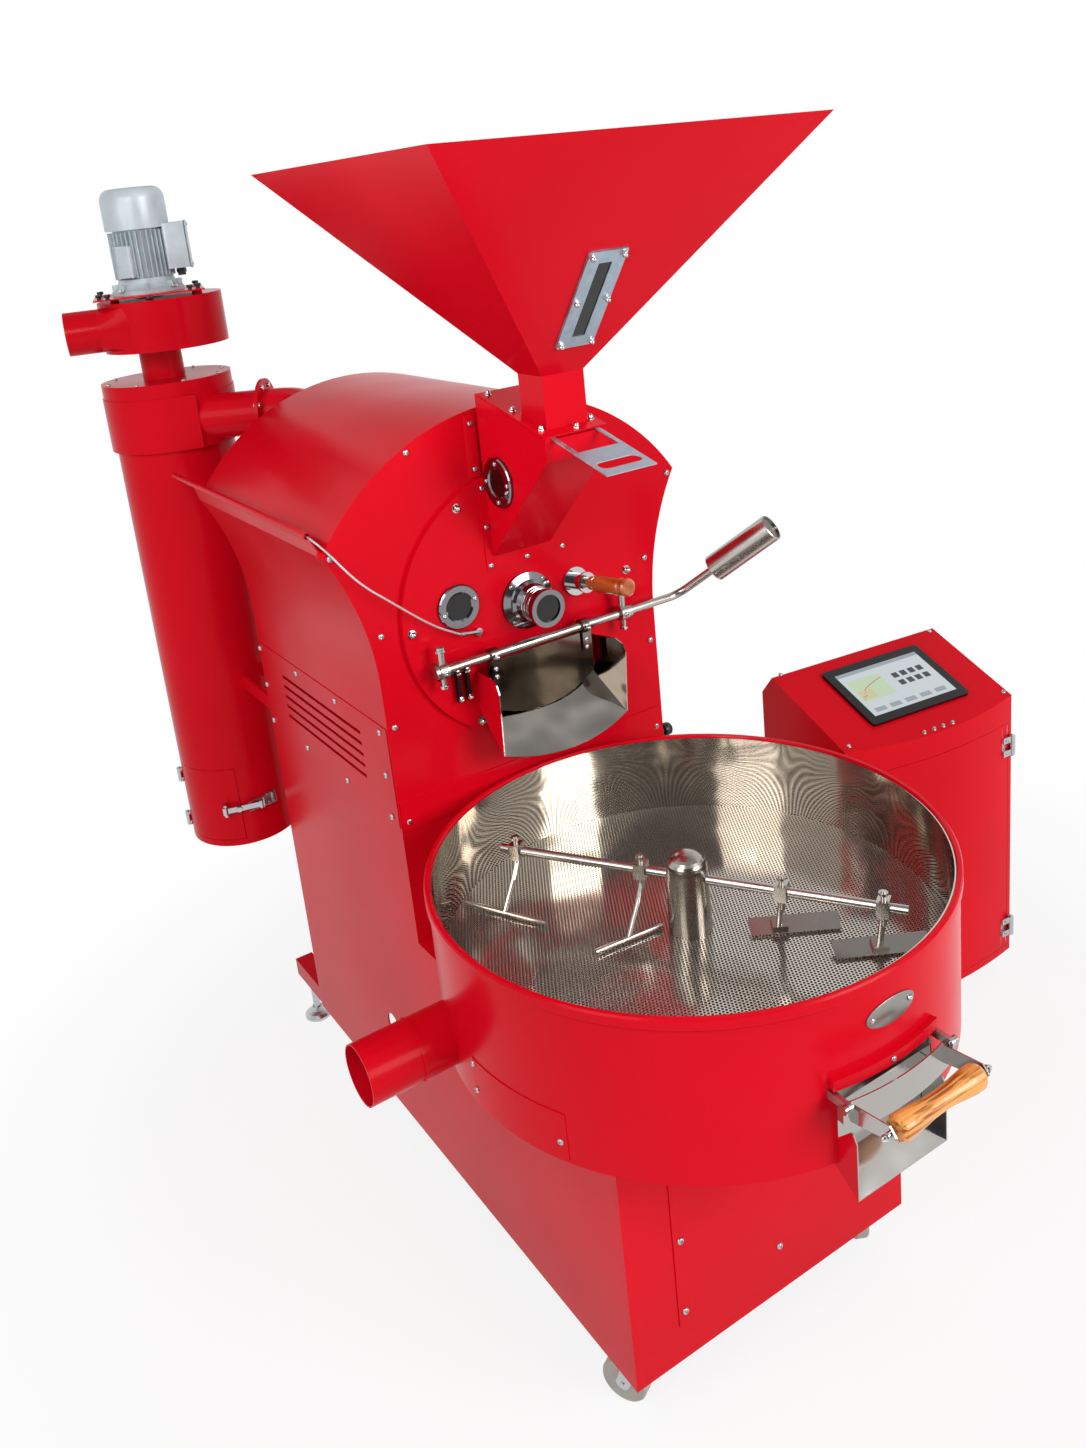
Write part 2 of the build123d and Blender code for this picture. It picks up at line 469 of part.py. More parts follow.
def sight_glasses():
    front = -DISC_PROUD
    reach = CENTRE_REACH - DISC_PROUD
    glass = lens(Pos(CENTRE_SIGHT_X, front, DRUM_Z) * Rot(90, 0, 0), CENTRE_LENS_R + 2.8, reach - 8.8, reach - 3.2)
    for location in (Pos(LEFT_SIGHT_X, front, LEFT_SIGHT_Z) * Rot(90, 0, 0), side_sight_location()):
        glass += lens(location, LEFT_LENS_R + 1.8, 1.2, 4.1)
    return glass


def trier_socket():
    """Flange and guide tube on the tilted axis; the foot is cut flat on the disc."""
    socket = rod(trier_axis(8), trier_axis(-DISC_PROUD - SOCKET_REACH), SOCKET_NECK_R)
    socket += rod(trier_axis(8), trier_axis(-DISC_PROUD - 8), SOCKET_R)
    socket += rod(trier_axis(-DISC_PROUD - SOCKET_REACH + 7), trier_axis(-DISC_PROUD - SOCKET_REACH), SOCKET_NECK_R + 3)
    socket &= block(TRIER_X - 40, TRIER_X + 40, -120, -DISC_PROUD, TRIER_Z - 60, TRIER_Z + 60)
    return socket - rod(trier_axis(20), trier_axis(-100), TRIER_R + RUN)


def trier_scoop():
    """Sampling tube, cut open on top where it lies among the beans."""
    start = trier_axis(-DISC_PROUD - SOCKET_REACH - 10)
    end = trier_axis(TRIER_INSIDE)
    tube = rod(start, end, TRIER_R)
    inside = trier_axis(25)
    hollow = rod(inside, trier_axis(TRIER_INSIDE - 6), TRIER_R - 2)
    top = block(TRIER_X - 20, TRIER_X + 20, 25, TRIER_INSIDE - 8, trier_axis(TRIER_INSIDE)[2] + 9, TRIER_Z + 30)
    return tube - hollow - top


def trier_handle():
    y0 = -DISC_PROUD - TRIER_GRIP_START
    a, b = Vector(*trier_axis(y0)), Vector(*trier_axis(y0 - TRIER_GRIP_LENGTH))
    r, n = TRIER_GRIP_R, (b - a).length
    points = [(0, 0), (r - 5, 0), (r - 3, 4), (r - 3, 16), (r, 24), (r, n - 20), (r - 2, n - 17), (r, n - 14),
              (r, n - 4), (r - 3, n), (0, n)]
    return turned(points, Plane(origin=a, z_dir=b - a).location)


def probe_fitting():
    """Probe head screwed into the disc, and the grommet that holds the cable inside the tube."""
    head = disc_y(PROBE_X, PROBE_Z, 3, -DISC_PROUD, 40) + disc_y(PROBE_X, PROBE_Z, 7, -DISC_PROUD - 8, -DISC_PROUD)
    head += rod((PROBE_X, -DISC_PROUD - 6, PROBE_Z), CABLE_POINTS[-1], 3.5)
    end = CABLE_POINTS[0][1]
    return head + disc_y(-LIP_X, LIP_Z, LIP_R - LIP_WALL, end - 12, end + 10)


CABLE_R = 1.8
CABLE_POINTS = [(-358, 46, 1325), (-358, 12, 1325), (-336.4, -9, 1294.8), (-325.8, -16, 1277.3),
                (-307, -20, 1251), (-285.4, -23, 1227.5), (-261, -26, 1206.2), (-233, -27, 1181),
                (-199.8, -27, 1151.9), (-168, -26.5, 1128), (-136, -24, 1110.5)]


def probe_cable():
    points = [Vector(*p) for p in CABLE_POINTS]
    runs = [(b - a).length for a, b in zip(points, points[1:])]
    radii = []
    for i in range(1, len(points) - 1):
        turn = (points[i] - points[i - 1]).get_angle(points[i + 1] - points[i])
        radii.append(0.45 * min(runs[i - 1], runs[i]) / math.tan(math.radians(turn / 2)))
    path = FilletPolyline(*points, radius=radii)
    start = Plane(origin=points[0], z_dir=points[1] - points[0])
    return sweep(start * Circle(CABLE_R), path=path), path.length, radii


# Discharge ----------------------------------------------------------------------------------------------
def door_posts():
    """Two studs on the disc with the shaft's rings, and two hanging stop links on the left."""
    y, z = DOOR_SHAFT_Y, DOOR_SHAFT_Z
    posts = Part()
    for s in (-1, 1):
        x = s * POST_X
        ring = disc_x(y, z, 14, x - 8, x + 8)
        stud = disc_y(x, z, 8, y + 6, -DISC_PROUD) + disc_z(x, y, 6, z + 10, z + 34) + disc_z(x, y, 8, z + 34, z + 42)
        post = ring + stud + disc_z(x, y, 5, z - 26, z - 10) - disc_x(y, z, DOOR_SHAFT_R + RUN, x - 9, x + 9)
        posts += post
    for x in (-150, -132):
        link = block(x - 3, x + 3, -24, -13, z - 66, z - 18) + disc_x(-18.5, z - 18, 7, x - 3, x + 3)
        link += disc_x(-18.5, z - 66, 7, x - 3, x + 3)
        posts += link
    return posts + disc_x(-18.5, z - 18, 3, -POST_X + 4, -126) + block(-POST_X - 4, -POST_X + 4, -24, -13, z - 22, z - 2)


def door_shaft():
    """Long shaft that bends into the lever of the counterweight."""
    y, z = DOOR_SHAFT_Y, DOOR_SHAFT_Z
    bend = Vector(LEVER_BEND_X, y, z)
    path = FilletPolyline(Vector(-POST_X - 12, y, z), bend, bend + LEVER_DIR * (WEIGHT_START + 10), radius=35)
    start = Plane(origin=(-POST_X - 12, y, z), z_dir=(1, 0, 0))
    shaft = sweep(start * Circle(DOOR_SHAFT_R), path=path)
    for s in (-1, 1):
        shaft += disc_x(y, z, 12, s * (POST_X + 12.3) - 3.5, s * (POST_X + 12.3) + 3.5)
    a = bend + LEVER_DIR * WEIGHT_START
    n = WEIGHT_LENGTH
    r = WEIGHT_R
    points = [(0, 0), (r - 2, 0), (r, 2), (r, n - 1.5), (r - 1.5, n), (r - 4, n), (r - 4, n - 3), (0, n - 3)]
    return shaft + turned(points, Plane(origin=a, z_dir=LEVER_DIR).location)


CLAMP_X = (-88.0, 98.0)


def discharge_door():
    """Mirror plate with an arc at the bottom, hung from two clamps on the shaft."""
    y, z = DOOR_SHAFT_Y, DOOR_SHAFT_Z
    front, back = y - 2, y + 1
    plate = block(DOOR_LEFT, DOOR_RIGHT, front, back, DRUM_Z - DOOR_ARC_R, z - 11)
    plate &= disc_y(0, DRUM_Z, DOOR_ARC_R, front, back)
    for x in CLAMP_X:
        clamp = disc_x(y, z, 13, x - 7, x + 7) + block(x - 7, x + 7, front - 5, front, z - 45, z - 8)
        clamp += block(x - 7, x + 7, front - 5, back, z - 14, z - 6)
        plate += clamp - disc_x(y, z, DOOR_SHAFT_R, x - 8, x + 8)
    return plate


def discharge_chute():
    """Sloped chute on the disc: two cheeks with a rounded nose and a floor with a bowed lip."""
    face = -DISC_PROUD
    cheek = [(face, CHUTE_TOP), (CHUTE_NOSE_Y + 19, CHUTE_TOP), (CHUTE_NOSE_Y + 6, CHUTE_TOP - 8),
             (CHUTE_NOSE_Y, CHUTE_NOSE_Z), (CHUTE_LIP_Y, CHUTE_LIP_Z - THIN / 2),
             (face, floor_line(face) - THIN / 2)]
    splay = math.atan2(CHUTE_RIGHT - CHUTE_ROOT, face - CHUTE_NOSE_Y)
    drawn = [((y - face) / math.cos(splay), z) for y, z in cheek]
    right = Pos(CHUTE_ROOT, face, 0) * Rot(0, 0, math.degrees(splay)) * plate_x(drawn, -THIN, 0)
    chute = plate_x(cheek, CHUTE_LEFT, CHUTE_LEFT + THIN) + right
    slope = math.radians(CHUTE_SLOPE)
    mid = (CHUTE_LEFT + CHUTE_ROOT) / 2
    half = (CHUTE_ROOT - CHUTE_LEFT) / 2
    wide = half + (face - CHUTE_LIP_Y) * math.tan(splay)
    run = (face - CHUTE_LIP_Y) / math.cos(slope)
    edge = [Line((-half, run), (half, run)), Line((half, run), (wide, 0)),
            ThreePointArc((wide, 0), (0, -CHUTE_LIP_BULGE), (-half, 0)), Line((-half, 0), (-half, run))]
    plane = Plane(origin=(mid, CHUTE_LIP_Y, CHUTE_LIP_Z), x_dir=(1, 0, 0),
                  z_dir=(0, -math.sin(slope), math.cos(slope)))
    floor = plane * extrude(make_face(edge), amount=-THIN, dir=(0, 0, 1))
    chute += floor
    return chute - block(CHUTE_LEFT, CHUTE_RIGHT, face, 0, 800, 1100)


# Loading ------------------------------------------------------------------------------------------------
INCLINE_Z = (0, -math.sin(math.radians(LOAD_INCLINE)), math.cos(math.radians(LOAD_INCLINE)))
INCLINE = Plane(origin=(LOAD_X, LOAD_FRONT, LOAD_FRONT_TOP), x_dir=(1, 0, 0), z_dir=INCLINE_Z)
GATE_GAP = GATE_THICK + 2 * SEAT


def on_incline(x0, x1, s0, s1, n0, n1):
    return INCLINE * block(x0, x1, s0, s1, n0, n1)


def load_box(inset, back):
    """The chute's outline in (y, z), shrunk by inset, with its rear at the given Y."""
    rise = math.tan(math.radians(LOAD_INCLINE))
    top = LOAD_FRONT_TOP - inset / math.cos(math.radians(LOAD_INCLINE))
    front = LOAD_FRONT + inset
    low = (LOAD_FRONT_LOW - LOAD_FOOT_Z) / (-DISC_PROUD - LOAD_FRONT)
    foot_inset = inset * math.sqrt(1 + low ** 2)
    return [(back, LOAD_FOOT_Z + foot_inset - low * (back + DISC_PROUD)),
            (front, LOAD_FRONT_LOW + foot_inset - low * inset),
            (front, top + rise * inset),
            (back, top + rise * (back - LOAD_FRONT))]


def load_chute():
    half = LOAD_WIDTH / 2
    back = -DISC_PROUD
    wall_back = back - THIN
    body = plate_x(load_box(0, back), LOAD_X - half, LOAD_X + half)
    body -= plate_x(load_box(THIN, wall_back), LOAD_X - half + THIN, LOAD_X + half - THIN)
    body += block(LOAD_X - half - 14, LOAD_X + half + 30, back - THIN, back, LOAD_FOOT_Z - 21, 1352)
    body -= plate_x(load_box(THIN, wall_back), LOAD_X - half + THIN, LOAD_X + half - THIN)
    body -= block(*load_opening(), -DISC_PROUD - 3, -DISC_PROUD, LOAD_FOOT_Z + 4, LOAD_OPENING_TOP)
    body -= block(LOAD_X - NECK_WIDTH / 2 + THIN, LOAD_X + NECK_WIDTH / 2 - THIN, NECK_FRONT + THIN,
                  NECK_BACK - THIN, 1430, 1500)
    body -= side_sight_location() * Pos(0, 0, -5) * Cylinder(LEFT_LENS_R, 6, align=ON_FLOOR)
    for s in (-1, 1):
        x0, x1 = sorted((s * (GATE_WIDTH / 2 + SEAT), s * (half - 1)))
        body += on_incline(x0, x1, 0, LOAD_TOP_LENGTH - 4, 0, GATE_GAP)
    return body


def hopper_neck():
    """Square neck on a flange that lies over the slide gate."""
    half = NECK_WIDTH / 2
    tube = block(LOAD_X - half, LOAD_X + half, NECK_FRONT, NECK_BACK, 1400, NECK_TOP)
    tube += on_incline(-LOAD_WIDTH / 2 - 1, LOAD_WIDTH / 2 + 1, 2, LOAD_TOP_LENGTH - 13, GATE_GAP, GATE_GAP + SHEET)
    tube -= block(LOAD_X - half + THIN, LOAD_X + half - THIN, NECK_FRONT + THIN, NECK_BACK - THIN, 1400, NECK_TOP)
    return tube - on_incline(-200, 200, -60, 400, -200, GATE_GAP)


def slide_gate():
    """Gate sheet: hand plate with a slot outside, two arms round the open window, blade under the neck."""
    half = GATE_WIDTH / 2
    gate = on_incline(-half, half, -GATE_OUT, GATE_BLADE + 12, SEAT, SEAT + GATE_THICK)
    window_end = GATE_OUT - GATE_PLATE
    gate -= on_incline(-half + 8, half - 8, -window_end, 12, SEAT, SEAT + GATE_THICK)
    middle, r = GATE_SLOT_IN - GATE_OUT, GATE_SLOT_R
    slot = on_incline(-GATE_SLOT_HALF, GATE_SLOT_HALF, middle - r, middle + r, SEAT, SEAT + GATE_THICK)
    for x in (-GATE_SLOT_HALF, GATE_SLOT_HALF):
        slot += INCLINE * Pos(x, middle, SEAT) * Cylinder(r, GATE_THICK, align=ON_FLOOR)
    return gate - slot


def hopper_solid(inset):
    """The hopper's pyramid, shrunk sideways by inset."""
    low = Plane(origin=(LOAD_X, (NECK_FRONT + NECK_BACK) / 2, NECK_TOP))
    high = Plane(origin=(0, (HOPPER_FRONT + HOPPER_BACK) / 2, HOPPER_RIM))
    return loft([low * Rectangle(NECK_WIDTH - 2 * inset, NECK_BACK - NECK_FRONT - 2 * inset),
                 high * Rectangle(HOPPER_WIDTH - 2 * inset, HOPPER_BACK - HOPPER_FRONT - 2 * inset)])


WINDOW_SLOPE = math.atan2(HOPPER_RIM - NECK_TOP, NECK_FRONT - HOPPER_FRONT)
WINDOW_Y = NECK_FRONT - (WINDOW_Z - NECK_TOP) / math.tan(WINDOW_SLOPE)
WINDOW = Plane(origin=(LOAD_X, WINDOW_Y, WINDOW_Z), x_dir=(1, 0, 0),
               z_dir=(0, -math.sin(WINDOW_SLOPE), -math.cos(WINDOW_SLOPE)))
GLASS_WIDTH, GLASS_HEIGHT, GLASS_THICK = 23.0, 135.0, 2.0


def hopper():
    inset = THIN / math.sin(WINDOW_SLOPE)
    return hopper_solid(0) - hopper_solid(inset) - WINDOW * Box(GLASS_WIDTH, GLASS_HEIGHT, 12)


def window_frame():
    plate = Pos(0, 0, 0) * Box(WINDOW_WIDTH, WINDOW_HEIGHT, 4, align=ON_FLOOR)
    plate -= Box(GLASS_WIDTH, GLASS_HEIGHT, 12)
    plate -= Box(GLASS_WIDTH + 8, GLASS_HEIGHT + 8, GLASS_THICK + 2 * SEAT, align=ON_FLOOR)
    return WINDOW * fillet(plate.edges().filter_by(Axis.Z).group_by(Axis.X)[0], 6)


def window_glass():
    return WINDOW * Pos(0, 0, SEAT) * Box(GLASS_WIDTH + 7.4, GLASS_HEIGHT + 7.4, GLASS_THICK, align=ON_FLOOR)


# Cooling tray -------------------------------------------------------------------------------------------
WALL_TOP = FLOOR_Z - THIN - SEAT            # the tray's wall is open below this at the outlet


def tray_shell():
    """Bottom and lower wall with the cover panel, open for the outlet and for the pipe's saddle."""
    r, hole = TRAY_R, STIR_SHAFT_R + 4
    shell = disc_z(0, TRAY_Y, r, DECK_TOP, WALL_TOP) - disc_z(0, TRAY_Y, r - SHEET, DECK_TOP + SHEET, WALL_TOP)
    shell -= disc_z(0, TRAY_Y, hole, DECK_TOP, DECK_TOP + SHEET)
    shell += sector(0, TRAY_Y, r, r + 1.5, COVER_FROM, COVER_TO, COVER_LOW, COVER_HIGH)
    shell -= saddle(r + 1)
    return shell - block(-OUTLET_HALF, OUTLET_HALF, -850, OUTLET_BACK - THIN, DECK_TOP, WALL_TOP)


def saddle(r_out):
    """The pipe's curved plate in the wall, out to the given radius."""
    middle = 180 - math.degrees(math.asin((SUCTION_Y - TRAY_Y) / TRAY_R))
    return sector(0, TRAY_Y, TRAY_R - SHEET, r_out, middle - SADDLE_HALF, middle + SADDLE_HALF,
                  DECK_TOP + SHEET, WALL_TOP)


def tray_rim():
    """Upper wall with its thick rim, the outlet's hood and the two hinge lugs."""
    r, rim, top = TRAY_R, TRAY_RIM_R, TRAY_TOP
    inner_rim = LINER_R + THIN + SEAT
    points = [(r - SHEET, WALL_TOP), (r, WALL_TOP), (r, top - 20), (rim, top - 16), (rim, top - 3),
              (rim - 2, top), (inner_rim + 2, top), (inner_rim, top - 3), (inner_rim, top - 22), (r - SHEET, top - 22)]
    ring = turned(points, Pos(0, TRAY_Y, 0))
    hood_angle = math.degrees(math.asin(HOOD_HALF / r))
    ring += sector(0, TRAY_Y, r, r + HOOD_PROUD, 270 - hood_angle, 270 + hood_angle, HOOD_LOW, HOOD_HIGH)
    for s in (-1, 1):
        x0, x1 = sorted((s * LUG_IN, s * LUG_OUT))
        lug = block(x0, x1, FLAP_HINGE_Y, TRAY_Y - 370, FLAP_HINGE_Z - 6, FLAP_HINGE_Z + 6)
        lug += disc_x(FLAP_HINGE_Y, FLAP_HINGE_Z, 6, x0, x1)
        lug -= disc_z(0, TRAY_Y, r - SHEET, 600, 700) + disc_z(0, TRAY_Y, r, 600, WALL_TOP)
        ring += lug - disc_x(FLAP_HINGE_Y, FLAP_HINGE_Z, 3 + RUN, x0 - 1, x1 + 1)
    return ring


def tray_liner():
    """Stainless wall with an inward flange that carries the floor."""
    r = LINER_R
    points = [(r, FLOOR_Z - THIN - SEAT), (r - 16, FLOOR_Z - THIN - SEAT), (r - 16, FLOOR_Z - 2 * THIN - SEAT),
              (r + THIN, FLOOR_Z - 2 * THIN - SEAT), (r + THIN, TRAY_TOP - 4), (r, TRAY_TOP - 4)]
    liner = turned(points, Pos(0, TRAY_Y, 0))
    return liner - block(-OUTLET_HALF, OUTLET_HALF, -850, -700, 600, FLOOR_Z - THIN - SEAT)


def tray_floor():
    """Perforated floor in three sheets: one behind the outlet's opening and one on each side of it."""
    r, half = LINER_R - SEAT, OUTLET_HALF - THIN
    floor = disc_z(0, TRAY_Y, r, FLOOR_Z - THIN, FLOOR_Z)
    floor -= disc_z(0, TRAY_Y, STIR_SHAFT_R + 1, FLOOR_Z - THIN, FLOOR_Z)
    floor -= block(-half, half, TRAY_Y - r, OUTLET_BACK, FLOOR_Z - THIN, FLOOR_Z)
    return floor - block(-r, r, OUTLET_BACK - SEAT, OUTLET_BACK, FLOOR_Z - THIN, FLOOR_Z)


def outlet_floor_line(y):
    return OUTLET_LIP_Z + math.tan(math.radians(OUTLET_SLOPE)) * (y - OUTLET_LIP_Y)


def outlet_chute():
    """Duct below the floor's opening: rear wall, two cheeks and a sloped floor that ends in the lip."""
    half, back, lip = OUTLET_HALF, OUTLET_BACK, OUTLET_LIP_Y
    top = FLOOR_Z - THIN - SEAT
    cheek = [(back, top), (back, outlet_floor_line(back) - THIN), (lip, OUTLET_LIP_Z - THIN),
             (lip, OUTLET_WALL_TOP - 12), (lip + 6, OUTLET_WALL_TOP), (lip + 16, OUTLET_WALL_TOP + 4),
             (lip + 24, OUTLET_WALL_TOP + 16), (lip + 26, 668), (lip + 32, 680), (lip + 36, top)]
    chute = plate_x(cheek, -half, -half + THIN) + plate_x(cheek, half - THIN, half)
    floor = [(back, outlet_floor_line(back)), (back, outlet_floor_line(back) - THIN),
             (lip, OUTLET_LIP_Z - THIN), (lip, OUTLET_LIP_Z)]
    chute += plate_x(floor, -half, half)
    chute += block(-half, half, back - THIN, back, outlet_floor_line(back) - THIN, top)
    keep = disc_z(0, TRAY_Y, LINER_R - 0.5, 400, 900) + block(-200, 200, -900, TRAY_Y, 400, 676)
    return chute & keep


FLAP_R = 420.0


def outlet_door():
    """Curved band with two ears, a flat flap set back in the duct's mouth and two arms for the grip."""
    top, low = FLAP_HINGE_Z, FLAP_HINGE_Z - FLAP_BAND
    band_angle = math.degrees(math.asin(FLAP_EAR / FLAP_R))
    band = sector(0, TRAY_Y, FLAP_R - THIN, FLAP_R, 270 - band_angle, 270 + band_angle, low, top)
    y = FLAP_Y
    half = OUTLET_HALF - THIN - 1
    flap = block(-half, half, y - 1, y + 1, outlet_floor_line(y + 1) + 2, low + 12)
    joiner = block(-half, half, TRAY_Y - FLAP_R + 1, y + 1, low + 10, low + 12)
    joiner &= disc_z(0, TRAY_Y, FLAP_R, low, top)
    door = band + flap + joiner
    for s in (-1, 1):
        x0, x1 = sorted((s * FLAP_ARM, s * (FLAP_ARM + THIN)))
        arm = [(FLAP_HINGE_Y + 7, top - 2), (GRIP_Y, GRIP_Z + 11), (GRIP_Y - 10, GRIP_Z), (GRIP_Y, GRIP_Z - 11),
               (FLAP_HINGE_Y + 7, top - 30)]
        blade = plate_x(arm, x0, x1)
        door += blade - disc_z(0, TRAY_Y, FLAP_R - 1, 600, 700)
    for s in (-1, 1):
        x0, x1 = sorted((s * (GRIP_LENGTH / 2 + SEAT), s * GRIP_PIN_END))
        door += disc_x(GRIP_Y, GRIP_Z, 4, x0, x1)
        n0, n1 = sorted((s * (LUG_IN - 1), s * (LUG_OUT + 1)))
        door -= block(n0, n1, -840, -800, FLAP_HINGE_Z - 13, FLAP_HINGE_Z + 10)
        e0, e1 = sorted((s * (LUG_OUT + SEAT), s * FLAP_EAR))
        door += block(e0, e1, FLAP_HINGE_Y, FLAP_HINGE_Y + 10, FLAP_HINGE_Z - 20, FLAP_HINGE_Z)
        door += disc_x(FLAP_HINGE_Y, FLAP_HINGE_Z, 6, e0, e1)
        p0, p1 = sorted((s * (LUG_IN - 3), s * FLAP_EAR))
        door += disc_x(FLAP_HINGE_Y, FLAP_HINGE_Z, 3, p0, p1)
    return door


def outlet_grip():
    """Waisted wooden grip between the arms."""
    n, r = GRIP_LENGTH, GRIP_R
    points = [(0, 0), (r - 3, 0), (r, 5), (r, 20), (r - 4, n * 0.38), (r - 4.5, n * 0.5), (r - 4, n * 0.62),
              (r, n - 20), (r, n - 5), (r - 3, n), (0, n)]
    return turned(points, Pos(-n / 2, GRIP_Y, GRIP_Z) * Rot(0, 90, 0))


def suction_pipe():
    """Pipe with a bead, welded to its saddle plate."""
    r = SUCTION_R
    pipe = rod((SUCTION_END, SUCTION_Y, SUCTION_Z), (-300, SUCTION_Y, SUCTION_Z), r, r - THIN)
    pipe += rod((SUCTION_JOINT - 3, SUCTION_Y, SUCTION_Z), (SUCTION_JOINT + 3, SUCTION_Y, SUCTION_Z), r + 2, r - THIN)
    plate = saddle(TRAY_R) - disc_x(SUCTION_Y, SUCTION_Z, r - THIN, -TRAY_R - 5, -TRAY_R + 60)
    return pipe - disc_z(0, TRAY_Y, TRAY_R, 500, 700) + plate


def stirrer_hub():
    """Domed hub on the stirrer shaft, which runs down into the gearmotor."""
    return hub_body() + disc_z(0, TRAY_Y, STIR_SHAFT_R, 440, FLOOR_Z + 5)


def hub_body():
    """Slightly tapered column with a domed top."""
    low, shoulder = FLOOR_Z + SEAT, HUB_TOP - 26
    r = HUB_R - 2
    dome = [(r * math.cos(math.radians(a)), shoulder + 26 * math.sin(math.radians(a))) for a in range(0, 90, 10)]
    return turned([(0, low), (HUB_R, low)] + dome + [(0, HUB_TOP)], Pos(0, TRAY_Y, 0))


PADDLE_GAP = 2.0            # sweep bars and paddles over the perforated floor


def arm_point(r, z=ARM_Z):
    """A point on the cross arm at signed distance r from the hub's axis."""
    x, y = polar(r, ARM_ANGLE)
    return (x, TRAY_Y + y, z)


def arm_clamp(r):
    """Block clamped on the arm with its upright clamping screw."""
    x, y, z = arm_point(r)
    clamp = Pos(x, y, z) * Rot(0, 0, ARM_ANGLE) * Box(18, 24, 26)
    return clamp + disc_z(x, y, 4, z - 30, z + 26) + disc_z(x, y, 7, z + 20, z + 24)


def sweep_bar(r, a, b):
    """Thin bar on the floor, carried by two bent legs from a clamp."""
    z = FLOOR_Z + PADDLE_GAP + 4
    a, b = (a[0], a[1], z), (b[0], b[1], z)
    x, y, _ = arm_point(r)
    foot = tuple(a[i] + 0.5 * (b[i] - a[i]) for i in range(3))
    knee = ((x + foot[0]) / 2 + 6, (y + foot[1]) / 2, ARM_Z - 42)
    bar = rod(a, b, 4) + rod((x, y, ARM_Z - 20), knee, 4) + rod(knee, foot, 4) + Pos(*knee) * Sphere(4)
    return arm_clamp(r) + bar


def paddle(r, a, b, lean):
    """Flat blade that leans back over its lower edge, on a post with a foot plate."""
    low = FLOOR_Z + PADDLE_GAP
    dx, dy = b[0] - a[0], b[1] - a[1]
    length = math.hypot(dx, dy)
    heading = math.degrees(math.atan2(dy, dx))
    at = Pos(a[0], a[1], low) * Rot(0, 0, heading) * Rot(-lean, 0, 0)
    blade = at * block(0, length, -2.5, 0, 0, 32)
    x, y, z = arm_point(r)
    # the post stands on the blade at the foot of the perpendicular from the clamp
    t = ((x - a[0]) * dx + (y - a[1]) * dy) / length
    seat = at * block(t - 12, t + 12, -10, -2.5, 6, 26)
    foot = (at * Pos(t, -6, 16)).position
    post = rod((x, y, z - 8), (foot.X, foot.Y, foot.Z), 5)
    return arm_clamp(r) + (blade + seat + post)


def stirrer_arms():
    left = rod(arm_point(0), arm_point(-ARM_LEFT), ARM_R) - disc_z(0, TRAY_Y, HUB_R - 3, 700, 800)
    right = rod(arm_point(0), arm_point(ARM_RIGHT), ARM_R) - disc_z(0, TRAY_Y, HUB_R - 3, 700, 800)
    left += sweep_bar(-292, (-237, -118), (-169, -256)) + sweep_bar(-75, (-153, -370), (-34, -381))
    right += paddle(146.5, (52, -491), (167, -565), PADDLE_LEAN)
    right += paddle(294, (105, -613), (226, -687), PADDLE_LEAN)
    return left + right - hub_body()


def stirrer_gearmotor():
    top = DECK_TOP - SHEET
    unit = disc_z(0, TRAY_Y, 70, top - 12, top)
    unit += block(-75, 75, TRAY_Y - 60, TRAY_Y + 60, top - 142, top - 12)
    unit += disc_z(0, TRAY_Y, 62, top - 340, top - 142)
    return unit - disc_z(0, TRAY_Y, STIR_SHAFT_R + RUN, 435, top)


# Cyclone and blower -------------------------------------------------------------------------------------
CYC = Pos(CYC_X, CYC_Y, 0)
CYC_HEAD = Pos(CYC_X, CYC_Y, 0) * Rot(0, 0, CYC_TURN)   # +X to the duct, -Y to the front


def head_point(x, y, z):
    cx, sx = math.cos(math.radians(CYC_TURN)), math.sin(math.radians(CYC_TURN))
    return (CYC_X + cx * x - sx * y, CYC_Y + sx * x + cx * y, z)


DUCT_END, DUCT_CORNER_Y = (-100.0, BODY_DEPTH, 1412.0), BODY_DEPTH + 48.0
ASH_HINGE_R = BARREL_R + 6


def knuckle(location, low, high, web):
    """Hinge knuckle with a web back to its plate; the pin's bore is cut by the caller."""
    barrel = location * disc_z(0, 0, 5.5, low, high)
    return barrel + location * block(0, web, -3, 3, low, high)


def ash_hinge(z):
    """Location of an ash-door hinge axis; local +X points back to the barrel's wall."""
    x, y = polar(ASH_HINGE_R, ASH_FROM)
    return Pos(CYC_X + x, CYC_Y + y, z) * Rot(0, 0, ASH_FROM + 180)


def cyclone_barrel():
    r = BARREL_R
    barrel = disc_z(0, 0, r, BARREL_LOW, SCROLL_LOW) - disc_z(0, 0, r - SHEET, BARREL_LOW + SHEET, SCROLL_LOW)
    barrel -= sector(0, 0, r - 20, r + 5, ASH_FROM, ASH_TO, ASH_LOW, ASH_HIGH)
    barrel = CYC * barrel
    for z in ASH_HINGES:
        at = ash_hinge(z)
        lug = knuckle(at * Rot(0, 0, 30), -7, 7, 9)
        barrel += lug - at * disc_z(0, 0, 3 + RUN, -8, 8)
    catch = CYC_HEAD * block(26, 44, -BARREL_R - 3, -BARREL_R + 8, LATCH_Z - 10, LATCH_Z + 10)
    barrel += catch
    bracket = block(-BODY_HALF, -BODY_HALF + 8, BODY_DEPTH, CYC_Y - 60, 823, 853)
    bracket += block(-204, -196, BODY_DEPTH, CYC_Y - 60, 823, 853)
    barrel += bracket - CYC * disc_z(0, 0, r - 1, 400, 1300)
    return barrel - CYC * disc_z(0, 0, r - SHEET, BARREL_LOW + SHEET, SCROLL_LOW)


